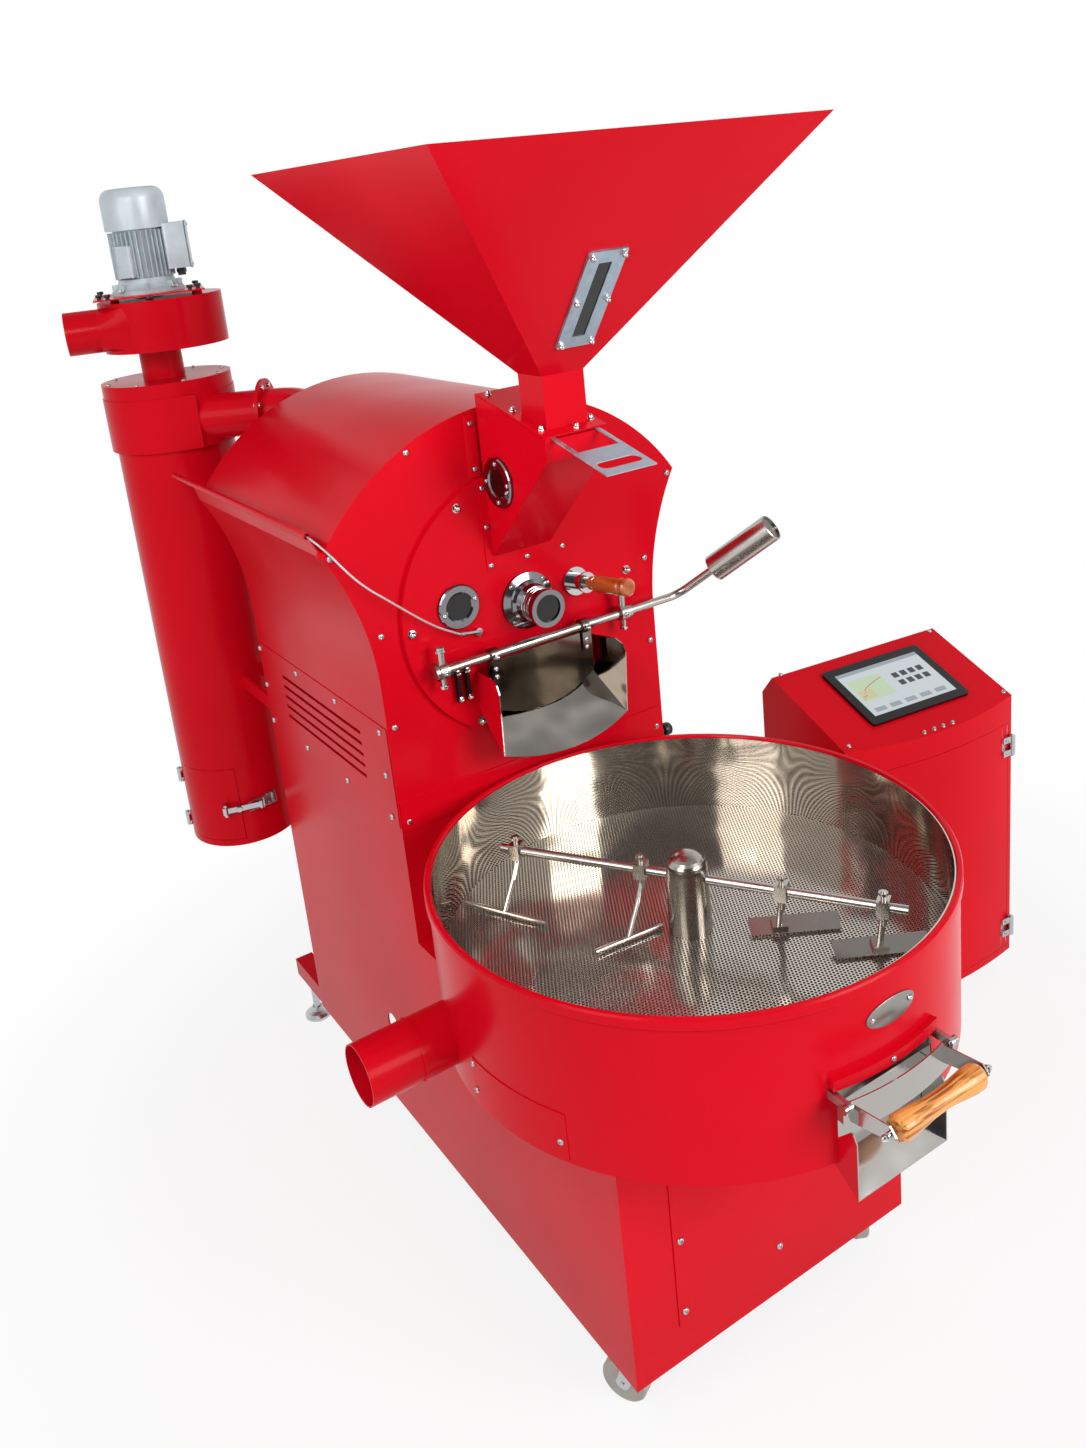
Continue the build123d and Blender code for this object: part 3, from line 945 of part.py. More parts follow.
def ash_door():
    """The cut-out part of the barrel's wall, with hinge pins and knuckles."""
    r = BARREL_R
    gap = math.degrees(ASH_GAP / r)
    door = CYC * sector(0, 0, r - SHEET, r, ASH_FROM + gap, ASH_TO - gap, ASH_LOW + ASH_GAP, ASH_HIGH - ASH_GAP)
    for z in ASH_HINGES:
        at = ash_hinge(z)
        for low, high in ((-16, -7.3), (7.3, 16)):
            door += knuckle(at * Rot(0, 0, -32), low, high, 10)
        door += at * disc_z(0, 0, 3, -18, 18)
    ears = disc_z(-LATCH_REACH, -BARREL_R - 9, 3, LATCH_Z - 14, LATCH_Z + 14)
    for low in (-14, 9):
        ears += block(-LATCH_REACH - 3, -LATCH_REACH + 3, -BARREL_R - 12, -BARREL_R + 14, LATCH_Z + low,
                      LATCH_Z + low + 5)
    return door + (CYC_HEAD * ears - CYC * disc_z(0, 0, BARREL_R - 1, 400, 700))


def ash_latch():
    """Toggle lever that lies across the seam and rests over the catch."""
    y = -BARREL_R - 9
    x = -LATCH_REACH
    lever = disc_z(x, y, 6, LATCH_Z - 8.7, LATCH_Z + 8.7) + block(x, 40, y - 3, y + 1, LATCH_Z - 6, LATCH_Z + 6)
    lever += disc_z(37, y - 1, 5, LATCH_Z - 8.7, LATCH_Z + 8.7)
    return CYC_HEAD * (lever - disc_z(x, y, 3 + RUN, LATCH_Z - 10, LATCH_Z + 10))


def scroll_outline(inset, z0, z1):
    """Round scroll with the straight inlet box at its front right."""
    r = SCROLL_R - inset
    body = disc_z(3.5, 0, r, z0, z1)
    return body + block(0, INLET_START - inset, -r, INLET_OFFSET + INLET_HALF - inset, z0, z1)


def duct_path(r):
    a = Vector(*head_point(INLET_START - 1, INLET_OFFSET, INLET_Z))
    b = Vector(DUCT_END[0], DUCT_CORNER_Y, INLET_Z)
    c = Vector(DUCT_END[0], DUCT_END[1] - 8, DUCT_END[2])
    path = FilletPolyline(a, b, c, radius=75)
    return sweep(Plane(origin=a, z_dir=b - a) * Circle(r), path=path), a, b


def cyclone_scroll():
    """Scroll housing, cap, centre neck and the inclined duct with its flange pair."""
    scroll = scroll_outline(0, SCROLL_LOW, SCROLL_HIGH) - scroll_outline(SHEET, SCROLL_LOW + SHEET, SCROLL_HIGH)
    scroll -= disc_z(0, 0, BARREL_R - SHEET, SCROLL_LOW, SCROLL_LOW + SHEET)
    scroll += disc_z(3.5, 0, SCROLL_R - 2, SCROLL_HIGH, CAP_HIGH)
    scroll += disc_z(0, 0, NECK_R, SCROLL_LOW - 60, VOLUTE_LOW)
    scroll -= disc_z(0, 0, NECK_R - SHEET, SCROLL_LOW - 60, VOLUTE_LOW)
    scroll = CYC_HEAD * scroll
    outer, a, b = duct_path(INLET_R)
    inner, _, _ = duct_path(INLET_R - THIN)
    along = (b - a).normalized()
    joint = a + along * INLET_JOINT
    duct = outer + rod(joint - along * 3.5, joint + along * 3.5, INLET_R + INLET_FLANGE)
    duct -= CYC_HEAD * scroll_outline(SHEET, SCROLL_LOW + SHEET, SCROLL_HIGH)
    duct -= block(-300, 200, 0, BODY_DEPTH, 1200, 1600)
    return scroll + duct - inner


def volute_body(inset):
    z0, z1 = VOLUTE_LOW + inset, VOLUTE_HIGH - inset
    r = VOLUTE_R - inset
    body = disc_z(VOLUTE_SHIFT, 0, r, z0, z1)
    zc = (VOLUTE_LOW + VOLUTE_HIGH) / 2
    pipe_r = OUTLET_PIPE_R - inset * 2 / 3
    left = Plane(origin=(-20, -62, zc), x_dir=(0, 1, 0), z_dir=(-1, 0, 0))
    right = Plane(origin=(OUTLET_PIPE_ROOT, OUTLET_PIPE_SIDE, zc), x_dir=(0, 1, 0), z_dir=(-1, 0, 0))
    throat = loft([left * Rectangle(94 - 2 * inset, z1 - z0), right * Circle(pipe_r)])
    pipe = rod((OUTLET_PIPE_ROOT, OUTLET_PIPE_SIDE, zc), (OUTLET_PIPE_END, OUTLET_PIPE_SIDE, zc), pipe_r)
    return body + throat + pipe


def blower_volute():
    """Spiral case with round outlet, and the motor plate on its stand-offs."""
    case = volute_body(0) - volute_body(THIN * 1.5)
    case -= disc_z(0, 0, NECK_R - SHEET, VOLUTE_LOW, VOLUTE_LOW + 10)
    case -= disc_z(0, 0, 30, VOLUTE_HIGH - 10, VOLUTE_HIGH)
    low = VOLUTE_HIGH + PLATE_GAP
    half = PLATE_SIDE / 2
    plate = block(-half, half, -half, half, low, low + SHEET) - disc_z(0, 0, MOTOR_SHAFT_R + 3, low, low + SHEET)
    for x, y in ((-70, -40), (-70, 40), (95, -70), (95, 70)):
        plate += disc_z(x, y, 8, VOLUTE_HIGH, low)
    return CYC_HEAD * (case + plate)


def blower_impeller():
    """Radial-blade fan wheel with its hub on the motor shaft."""
    low, high = VOLUTE_LOW + 14, VOLUTE_HIGH - 22
    wheel = disc_z(0, 0, IMPELLER_R, high - 2, high) + disc_z(0, 0, 16, low + 10, high + 6)
    for i in range(IMPELLER_BLADES):
        blade = block(14, IMPELLER_R, -1.5, 1.5, low, high)
        wheel += Rot(0, 0, 360 / IMPELLER_BLADES * i) * blade
    wheel -= disc_z(0, 0, 45, low - 1, low + 12) - disc_z(0, 0, 16, low - 1, low + 12)
    wheel += disc_z(0, 0, MOTOR_SHAFT_R, low + 20, VOLUTE_HIGH + PLATE_GAP + SHEET + 60)
    return CYC_HEAD * wheel


def blower_motor():
    """Flange motor with ribs, fan cowl and a terminal box."""
    base = VOLUTE_HIGH + PLATE_GAP + SHEET
    body = disc_z(0, 0, MOTOR_R, base, COWL_LOW + 4)
    body += turned([(0, base), (72, base), (72, base + 8), (MOTOR_FIN_R - 2, base + 12), (0, base + 12)], Pos(0, 0, 0))
    for i in range(MOTOR_FINS):
        fin = block(MOTOR_R - 2, MOTOR_FIN_R, -1.3, 1.3, base + 22, COWL_LOW)
        body += Rot(0, 0, 360 / MOTOR_FINS * (i + 0.5)) * fin
    r, top = COWL_R, MOTOR_TOP
    cowl = [(0, COWL_LOW), (r, COWL_LOW), (r, top - 24), (r - 3, top - 12), (r - 10, top - 4), (r - 20, top), (0, top)]
    body += turned(cowl, Pos(0, 0, 0))
    body += block(MOTOR_R - 4, 92, -42, 42, base + 42, base + 130) + block(92, 96, -45, 45, base + 39, base + 133)
    body += block(-30, 30, -MOTOR_FIN_R - 6, -MOTOR_R + 4, base + 34, base + 118)
    return CYC_HEAD * (body - disc_z(0, 0, MOTOR_SHAFT_R + RUN, base - 1, base + 61))


# Control cabinet ----------------------------------------------------------------------------------------
CAB = Pos(CAB_X, CAB_Y, 0) * Rot(0, 0, CAB_TURN)
CAB_FRONT_R = (CAB_WIDTH ** 2 / 4 + CAB_BULGE ** 2) / (2 * CAB_BULGE)
DESK_ANGLE = math.degrees(math.atan2(CAB_RIDGE_Z - CAB_FRONT_TOP, CAB_RIDGE_V))
DESK = CAB * Pos(0, 0, CAB_FRONT_TOP) * Rot(DESK_ANGLE, 0, 0)
CAB_AXIS_U, CAB_AXIS_V = CAB_WIDTH - CAB_DOOR_MARGIN + 6, -9.0


def cabinet_front(u):
    """v of the bowed front at a given u."""
    return CAB_FRONT_R - CAB_BULGE - math.sqrt(CAB_FRONT_R ** 2 - (u - CAB_WIDTH / 2) ** 2)


def cabinet_solid(inset, u0=0.0, u1=CAB_WIDTH, z0=CAB_LOW):
    """The cabinet's body, shrunk by inset, between two u planes and from z0 up."""
    u0, u1 = u0 + inset, u1 - inset
    back = CAB_DEPTH - inset
    mid = (u0 + u1) / 2
    front = [(u, cabinet_front(u) + inset, 0) for u in (u0, mid, u1)]
    plan = make_face([ThreePointArc(*front), Line(front[2], (u1, back, 0)), Line((u1, back, 0), (u0, back, 0)),
                      Line((u0, back, 0), front[0])])
    body = extrude(plan, amount=900, dir=(0, 0, 1))
    rise = (CAB_RIDGE_Z - CAB_FRONT_TOP) / CAB_RIDGE_V
    drop = inset / math.cos(math.radians(DESK_ANGLE))
    side = [(-60, z0 + inset), (-60, CAB_FRONT_TOP - 60 * rise - drop), (CAB_RIDGE_V, CAB_RIDGE_Z - drop),
            (back, CAB_BACK_Z - drop), (back, z0 + inset)]
    return body & plate_x(side, u0, u1)


def cabinet_body():
    m = CAB_DOOR_MARGIN
    body = cabinet_solid(0) - cabinet_solid(CAB_SHEET)
    body -= block(m, CAB_WIDTH - m, -60, 12, CAB_DOOR_LOW, CAB_DOOR_HIGH)
    frame = cabinet_solid(CAB_SHEET + 3.5) - cabinet_solid(CAB_SHEET + 5.5)
    frame &= block(0, CAB_WIDTH, -60, 14, 0, CAB_DOOR_HIGH + 16)
    frame -= block(m + 14, CAB_WIDTH - m - 14, -60, 20, CAB_DOOR_LOW + 14, CAB_DOOR_HIGH - 14)
    for u, v in caster_places():
        body += block(u - 22, u + 22, v - 22, v + 22, CAB_LOW, CAB_LOW + CAB_CASTER["plate"])
        body -= disc_z(u, v, CAB_CASTER["pin_r"] + RUN, CAB_LOW, CAB_LOW + CAB_CASTER["plate"] + 1)
    for z in CAB_HINGES:
        lug = disc_z(CAB_AXIS_U, CAB_AXIS_V, 6, z - 8, z + 8)
        lug += block(CAB_AXIS_U - 3, CAB_AXIS_U + 3, CAB_AXIS_V, 3, z - 8, z + 8)
        body += lug - disc_z(CAB_AXIS_U, CAB_AXIS_V, 3 + RUN, z - 9, z + 9)
    return CAB * body


def caster_places():
    """Caster centres in the cabinet's frame."""
    return [(74, 45), (CAB_WIDTH - 74, 45), (74, CAB_DEPTH - 40), (CAB_WIDTH - 74, CAB_DEPTH - 40)]


def cabinet_door():
    m, gap = CAB_DOOR_MARGIN, 1.0
    door = cabinet_solid(0) - cabinet_solid(CAB_SHEET)
    door &= block(m + gap, CAB_WIDTH - m - gap, -60, 6, CAB_DOOR_LOW + gap, CAB_DOOR_HIGH - gap)
    for z in CAB_HINGES:
        for low, high in ((-22, -8.3), (8.3, 22)):
            leaf = disc_z(CAB_AXIS_U, CAB_AXIS_V, 6, z + low, z + high)
            leaf += block(CAB_AXIS_U - 22, CAB_AXIS_U, CAB_AXIS_V - 2, CAB_AXIS_V + 1, z + low, z + high)
            leaf += block(CAB_AXIS_U - 26, CAB_AXIS_U - 16, CAB_AXIS_V - 2, -1.5, z + low, z + high)
            door += leaf
        door += disc_z(CAB_AXIS_U, CAB_AXIS_V, 3, z - 25, z + 25)
    return CAB * door


def touchscreen():
    bezel = Pos(SCREEN_U, SCREEN_V, 0) * Box(SCREEN_WIDTH, SCREEN_HEIGHT, SCREEN_THICK, align=MIN3)
    return DESK * fillet(bezel.edges().filter_by(Axis.Z), 8)


# Casters ------------------------------------------------------------------------------------------------
def caster_fork(size):
    """Swivel head, two legs and the axle; the kingpin is at the local origin, the wheel trails along +X."""
    h, wr, w, t = size["height"], size["wheel_r"], size["width"], size["trail"]
    top = h - size["plate"] - SEAT if size is BASE_CASTER else h - SEAT
    leg = max(2.0, w / 8)
    head = disc_z(0, 0, w / 2 + leg + 6, top - 7, top) + disc_z(0, 0, size["pin_r"], top - 2, h + size["plate"] - 1)
    axle_z = wr
    for s in (-1, 1):
        y0, y1 = sorted((s * (w / 2 + 1), s * (w / 2 + 1 + leg)))
        outline = [(-wr * 0.4, top - 6), (wr * 0.55, top - 6), (t + wr * 0.28, axle_z), (t - wr * 0.28, axle_z - 4)]
        cheek = plate_y(outline, y0, y1) + disc_y(t, axle_z, wr * 0.3, y0, y1)
        head += cheek
    head += disc_y(t, axle_z, 3, -w / 2 - leg - 3, w / 2 + leg + 3)
    return head


def caster_wheel(size):
    wr, w, t = size["wheel_r"], size["width"], size["trail"]
    half = w / 2
    points = [(3 + RUN, -half), (wr * 0.45, -half), (wr * 0.5, -half + 2), (wr * 0.7, -half + 2), (wr - 2, -half),
              (wr, -half + 3), (wr, half - 3), (wr - 2, half), (wr * 0.7, half - 2), (wr * 0.5, half - 2),
              (wr * 0.45, half), (3 + RUN, half)]
    return turned(points, Pos(t, 0, wr) * Rot(90, 0, 0))


def caster_locations():
    """Name, size and placed location of every caster."""
    places = []
    for name, s in (("left", -1), ("right", 1)):
        heading = 90 - s * (90 - BASE_CASTER_HEADING)
        places.append((f"base_{name}", BASE_CASTER, Pos(s * BASE_CASTER_X, BASE_CASTER_Y, 0) * Rot(0, 0, heading)))
    for name, (u, v) in zip(("front_left", "front_right", "rear_left", "rear_right"), caster_places()):
        places.append((f"cabinet_{name}", CAB_CASTER, CAB * Pos(u, v, 0) * Rot(0, 0, 60)))
    return places


# Assembly -----------------------------------------------------------------------------------------------
def build():
    cable, cable_length, cable_radii = probe_cable()
    nodes = {
        "base_frame": base_frame(),
        "rear_feet": rear_feet(),
        "side_panel_left": side_panel(-1),
        "side_panel_right": side_panel(1),
        "base_front_panel": base_front_panel(),
        "front_plate": front_plate(),
        "rear_plate": rear_plate(),
        "drum_cover": drum_cover(),
        "flares": flares(),
        "drum": drum(),
        "gearmotors": drum_gearmotor() + stirrer_gearmotor(),
        "drum_front_disc": drum_front_disc(),
        "sight_flanges": sight_flanges(),
        "sight_glasses": sight_glasses() + window_glass(),
        "trier_socket": trier_socket(),
        "trier_scoop": trier_scoop(),
        "trier_handle": trier_handle(),
        "probe_fitting": probe_fitting(),
        "probe_cable": cable,
        "door_posts": door_posts(),
        "door_shaft": door_shaft(),
        "discharge_door": discharge_door(),
        "discharge_chute": discharge_chute(),
        "load_chute": load_chute(),
        "hopper_neck": hopper_neck(),
        "slide_gate": slide_gate(),
        "hopper": hopper(),
        "window_frame": window_frame(),
        "tray_shell": tray_shell(),
        "tray_rim": tray_rim(),
        "tray_liner": tray_liner(),
        "tray_floor": tray_floor(),
        "outlet_chute": outlet_chute(),
        "outlet_door": outlet_door(),
        "outlet_grip": outlet_grip(),
        "suction_pipe": suction_pipe(),
        "stirrer_hub": stirrer_hub(),
        "stirrer_arms": stirrer_arms(),
        "cyclone_barrel": cyclone_barrel(),
        "ash_door": ash_door(),
        "ash_latch": ash_latch(),
        "cyclone_scroll": cyclone_scroll(),
        "blower_volute": blower_volute(),
        "blower_impeller": blower_impeller(),
        "blower_motor": blower_motor(),
        "cabinet_body": cabinet_body(),
        "cabinet_door": cabinet_door(),
        "touchscreen": touchscreen(),
    }
    nodes["trier_handle"] -= nodes["trier_scoop"]
    nodes["probe_fitting"] -= cable
    for name, size, place in caster_locations():
        nodes[f"fork_{name}"] = place * caster_fork(size)
        nodes[f"wheel_{name}"] = place * caster_wheel(size)
    boxes = [shape.bounding_box() for name, shape in nodes.items() if name != "probe_cable"]
    shift_x = -(min(b.min.X for b in boxes) + max(b.max.X for b in boxes)) / 2
    shift_y = -(min(b.min.Y for b in boxes) + max(b.max.Y for b in boxes)) / 2
    shift = Vector(shift_x, shift_y, -min(b.min.Z for b in boxes))
    return {name: Pos(*shift) * shape for name, shape in nodes.items()}, shift, cable_length, cable_radii


NODES, SHIFT, CABLE_LENGTH, CABLE_RADII = build()

if __name__ == "__main__":
    os.makedirs("parts", exist_ok=True)
    for node, solid in NODES.items():
        export_step(solid, f"parts/{node}.step")
    print("nodes", len(NODES), "shift", tuple(round(v, 3) for v in SHIFT))
    print("cable length", round(CABLE_LENGTH, 1), "bend radii", [round(r) for r in CABLE_RADII])
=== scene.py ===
"""Visual model of a shop-size drum coffee roaster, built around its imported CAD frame."""
from __future__ import annotations

import logging
import math
from dataclasses import dataclass
from enum import Enum
from typing import Any, Iterable, Sequence

import bmesh
import bpy
from mathutils import Matrix, Vector


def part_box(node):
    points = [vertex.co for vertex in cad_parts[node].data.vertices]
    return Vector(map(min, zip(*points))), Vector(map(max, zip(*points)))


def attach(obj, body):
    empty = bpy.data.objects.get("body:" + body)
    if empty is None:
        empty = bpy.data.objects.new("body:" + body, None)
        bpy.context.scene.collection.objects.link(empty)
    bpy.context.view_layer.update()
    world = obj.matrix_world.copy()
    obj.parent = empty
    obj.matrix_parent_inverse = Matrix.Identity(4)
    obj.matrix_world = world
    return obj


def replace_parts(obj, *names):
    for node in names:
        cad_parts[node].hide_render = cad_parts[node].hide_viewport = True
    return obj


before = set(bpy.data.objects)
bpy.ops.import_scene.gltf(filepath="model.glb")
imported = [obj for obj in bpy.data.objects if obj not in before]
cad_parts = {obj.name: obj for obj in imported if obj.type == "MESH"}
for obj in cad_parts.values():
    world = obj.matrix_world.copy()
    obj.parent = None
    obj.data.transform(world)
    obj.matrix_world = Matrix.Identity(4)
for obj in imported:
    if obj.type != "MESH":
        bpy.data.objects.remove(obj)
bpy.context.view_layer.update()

log = logging.getLogger("roaster")
MM = 0.001
FRONT = (0, -1, 0)              # the way the machine faces
FRONT_PLATE = 3.0               # the front plate's thickness, in millimetres
PATTERN_MIDDLE = (0.3, 0.7)     # where most values of a noise lie
SHARP_CAD = 28.0                # edges of CAD pieces stay sharp above this angle, in degrees
SHARP_PIECE = 38.0              # the same for the pieces made here

Point = tuple[float, float, float]
Pair = tuple[float, float]
Outline = Sequence[Pair]
Mesh = bpy.types.Mesh
Node = bpy.types.Node
Socket = bpy.types.NodeSocket
Tree = bpy.types.NodeTree


# Colour and nodes ---------------------------------------------------------------------------------------
def linear(code: str) -> tuple[float, float, float, float]:
    """Turns an sRGB hex code into a linear colour.

    Args:
        code: six hex digits with a leading hash.

    Returns:
        Linear red, green and blue, and an alpha of 1.
    """
    parts = [int(code[i:i + 2], 16) / 255 for i in (1, 3, 5)]
    lin = [c / 12.92 if c <= 0.04045 else ((c + 0.055) / 1.055) ** 2.4 for c in parts]
    return lin[0], lin[1], lin[2], 1.0


def add_node(tree: Tree, kind: str, settings: dict[str | int, Any] | None = None,
             links: dict[str | int, Socket] | None = None) -> Node:
    """Adds one node to a tree.

    Args:
        tree: the node tree.
        kind: the node's type name.
        settings: values by property, input name or input index.
        links: output sockets by the name or index of the input they feed.

    Returns:
        The new node.
    """
    node = tree.nodes.new(kind)
    for key, value in (settings or {}).items():
        if isinstance(key, str) and hasattr(node, key):
            setattr(node, key, value)
        else:
            node.inputs[key].default_value = value
    for key, socket in (links or {}).items():
        tree.links.new(socket, node.inputs[key])
    return node


def fresh_tree(owner: bpy.types.Material | bpy.types.World) -> Tree:
    """Gives a material or world an empty node tree."""
    owner.use_nodes = True
    owner.node_tree.nodes.clear()
    return owner.node_tree


def maths(tree: Tree, operation: str, first: Socket, second: Socket) -> Socket:
    """Joins two values by an operation and returns the result."""
    return add_node(tree, "ShaderNodeMath", {"operation": operation}, {0: first, 1: second}).outputs[0]


def vector_maths(tree: Tree, operation: str, vector: Socket, *fixed: Sequence[float]) -> Node:
    """Adds a vector operation on a socket and up to two fixed vectors."""
    settings = {"operation": operation, **dict(enumerate(fixed, 1))}
    return add_node(tree, "ShaderNodeVectorMath", settings, {0: vector})


def remap(tree: Tree, value: Socket, source: Pair, target: Pair) -> Socket:
    """Maps a value from one range to another, held at both ends."""
    settings = {"From Min": source[0], "From Max": source[1], "To Min": target[0], "To Max": target[1]}
    return add_node(tree, "ShaderNodeMapRange", settings, {"Value": value}).outputs[0]


def own_place(tree: Tree) -> Socket:
    """The place on a piece, in the piece's own metres."""
    return add_node(tree, "ShaderNodeTexCoord").outputs["Object"]


class Slot(Enum):
    """Material slots of the part's record."""
    RED = "red_powder_coat"
    POLISHED = "stainless_polished"
    MIRROR = "stainless_mirror"
    PERFORATED = "perforated_stainless"
    DRUM = "drum_steel"
    CHROME = "chrome_plate"
    ZINC = "zinc_steel"
    GALVANISED = "galvanised_sheet"
    BLACK = "black_steel"
    MOTOR = "motor_grey"
    WOOD = "varnished_wood"
    GLASS = "dark_glass"
    CABLE = "braided_cable"
    PLASTIC = "black_plastic"
    RUBBER = "wheel_rubber"


class Grain(Enum):
    """Direction in which a finish is stretched, as noise scales along X, Y and Z."""
    ALONG_X = (0.03, 1.0, 1.0)
    ALONG_Y = (1.0, 0.03, 1.0)
    ALONG_Z = (1.0, 1.0, 0.03)
    EVEN = (1.0, 1.0, 1.0)


@dataclass(frozen=True)
class Finish:
    """A surface finish: a name, its record slot and the base settings of its shader."""
    name: str
    slot: Slot
    colour: str = "#808080"
    roughness: float = 0.4
    metallic: float = 0.0
    ior: float = 1.5
    specular: float = 0.5
    coat: float = 0.0
    coat_roughness: float = 0.05

    def material(self) -> bpy.types.Material:
        """Makes the material on first use and returns it."""
        known = bpy.data.materials.get(self.name)
        if known:
            return known
        made = bpy.data.materials.new(self.name)
        tree = fresh_tree(made)
        shader = add_node(tree, "ShaderNodeBsdfPrincipled", {
            "Base Color": linear(self.colour), "Roughness": self.roughness, "Metallic": self.metallic,
            "IOR": self.ior, "Specular IOR Level": self.specular, "Coat Weight": self.coat,
            "Coat Roughness": self.coat_roughness})
        add_node(tree, "ShaderNodeOutputMaterial", links={"Surface": shader.outputs[0]})
        self.lay(tree, shader)
        return made

    def lay(self, tree: Tree, shader: Node) -> None:
        """Adds the finish's own pattern; the plain finish has a faint grain in its gloss."""
        spots = self.noise(tree, 400.0, Grain.EVEN)
        self.spread(tree, shader, "Roughness", spots, self.roughness * 0.85, self.roughness * 1.15)

    @staticmethod
    def noise(tree: Tree, scale: float, grain: Grain, detail: float = 3.0) -> Socket:
        """Adds noise in the part's own metres.

        Args:
            tree: the node tree.
            scale: noise cells per metre.
            grain: the direction the noise is stretched in.
            detail: octaves.

        Returns:
            The noise's value socket.
        """
        turn = add_node(tree, "ShaderNodeMapping", {"Scale": grain.value}, {"Vector": own_place(tree)})
        cells = add_node(tree, "ShaderNodeTexNoise", {"Scale": scale, "Detail": detail},
                         {"Vector": turn.outputs[0]})
        return cells.outputs["Fac"]

    @staticmethod
    def spread(tree: Tree, shader: Node, socket: str, value: Socket, low: float, high: float) -> None:
        """Maps a pattern's middle range to low...high and feeds it to one of the shader's sockets."""
        tree.links.new(remap(tree, value, PATTERN_MIDDLE, (low, high)), shader.inputs[socket])

    @staticmethod
    def tint(tree: Tree, shader: Node, value: Socket, stops: Sequence[tuple[float, str]]) -> None:
        """Colours the shader by a pattern through the given stops."""
        ramp = add_node(tree, "ShaderNodeValToRGB", links={"Fac": value})
        bar = ramp.color_ramp.elements
        while len(bar) < len(stops):
            bar.new(0.5)
        for element, (at, code) in zip(bar, stops):
            element.position = at
            element.color = linear(code)
        tree.links.new(ramp.outputs[0], shader.inputs["Base Color"])

    @staticmethod
    def bump(tree: Tree, shader: Node, value: Socket, depth_mm: float, strength: float = 1.0) -> None:
        """Raises the surface by a pattern, to the given depth in millimetres, over any relief laid before."""
        relief = add_node(tree, "ShaderNodeBump", {"Strength": strength, "Distance": depth_mm * MM},
                          {"Height": value})
        for link in shader.inputs["Normal"].links:
            tree.links.new(link.from_socket, relief.inputs["Normal"])
        tree.links.new(relief.outputs[0], shader.inputs["Normal"])


@dataclass(frozen=True)
class PowderCoat(Finish):
    """Glossy polyester powder coat, oven-cured: deep colour, clear gloss and faint orange peel."""
    deep: str = "#c50518"
    peel_mm: float = 14.0       # real peel is 2 to 3 mm across; this coarse, it only bends reflections
    peel_depth_mm: float = 0.012

    def lay(self, tree: Tree, shader: Node) -> None:
        """Adds broad shade changes, uneven gloss and orange peel."""
        broad = self.noise(tree, 2.2, Grain.EVEN, 1.0)
        self.tint(tree, shader, broad, [(0.25, self.deep), (0.75, self.colour)])
        self.spread(tree, shader, "Roughness", self.noise(tree, 7.0, Grain.EVEN, 0.0), self.roughness * 0.9,
                    self.roughness * 1.1)
        peel = self.noise(tree, 1000 / self.peel_mm, Grain.EVEN, 0.0)
        self.bump(tree, shader, peel, self.peel_depth_mm, 0.2)


WAVE_LENGTH_MM = 90.0       # distance between the waves of thin polished sheet


@dataclass(frozen=True)
class Stainless(Finish):
    """Cold-rolled 304 sheet or bar, ground in one direction and polished: long streaks in the gloss."""
    grain: Grain = Grain.ALONG_Z
    grit_mm: float = 0.8        # real grinding lines are finer; this coarse, they still show
    line_depth_mm: float = 0.005
    streak: float = 0.5
    wave_mm: float = 0.0        # how far thin sheet departs from flat, which breaks up its reflections

    def lay(self, tree: Tree, shader: Node) -> None:
        """Adds grinding lines, patches of handling haze and the waviness of thin sheet."""
        lines = self.noise(tree, 1000 / self.grit_mm, self.grain, 4.0)
        haze = self.noise(tree, 14.0, Grain.EVEN, 3.0)
        both = add_node(tree, "ShaderNodeMath", {"operation": "MULTIPLY_ADD", 1: self.streak},
                        {0: lines, 2: haze}).outputs[0]
        gloss = remap(tree, both, (0.4, 1.0), (self.roughness * 0.7, self.roughness * 1.5))
        tree.links.new(gloss, shader.inputs["Roughness"])
        if self.grain is not Grain.EVEN:
            self.bump(tree, shader, lines, self.line_depth_mm, self.streak * 0.4)
        if self.wave_mm:
            self.bump(tree, shader, self.noise(tree, 1000 / WAVE_LENGTH_MM, Grain.EVEN, 1.0), self.wave_mm)


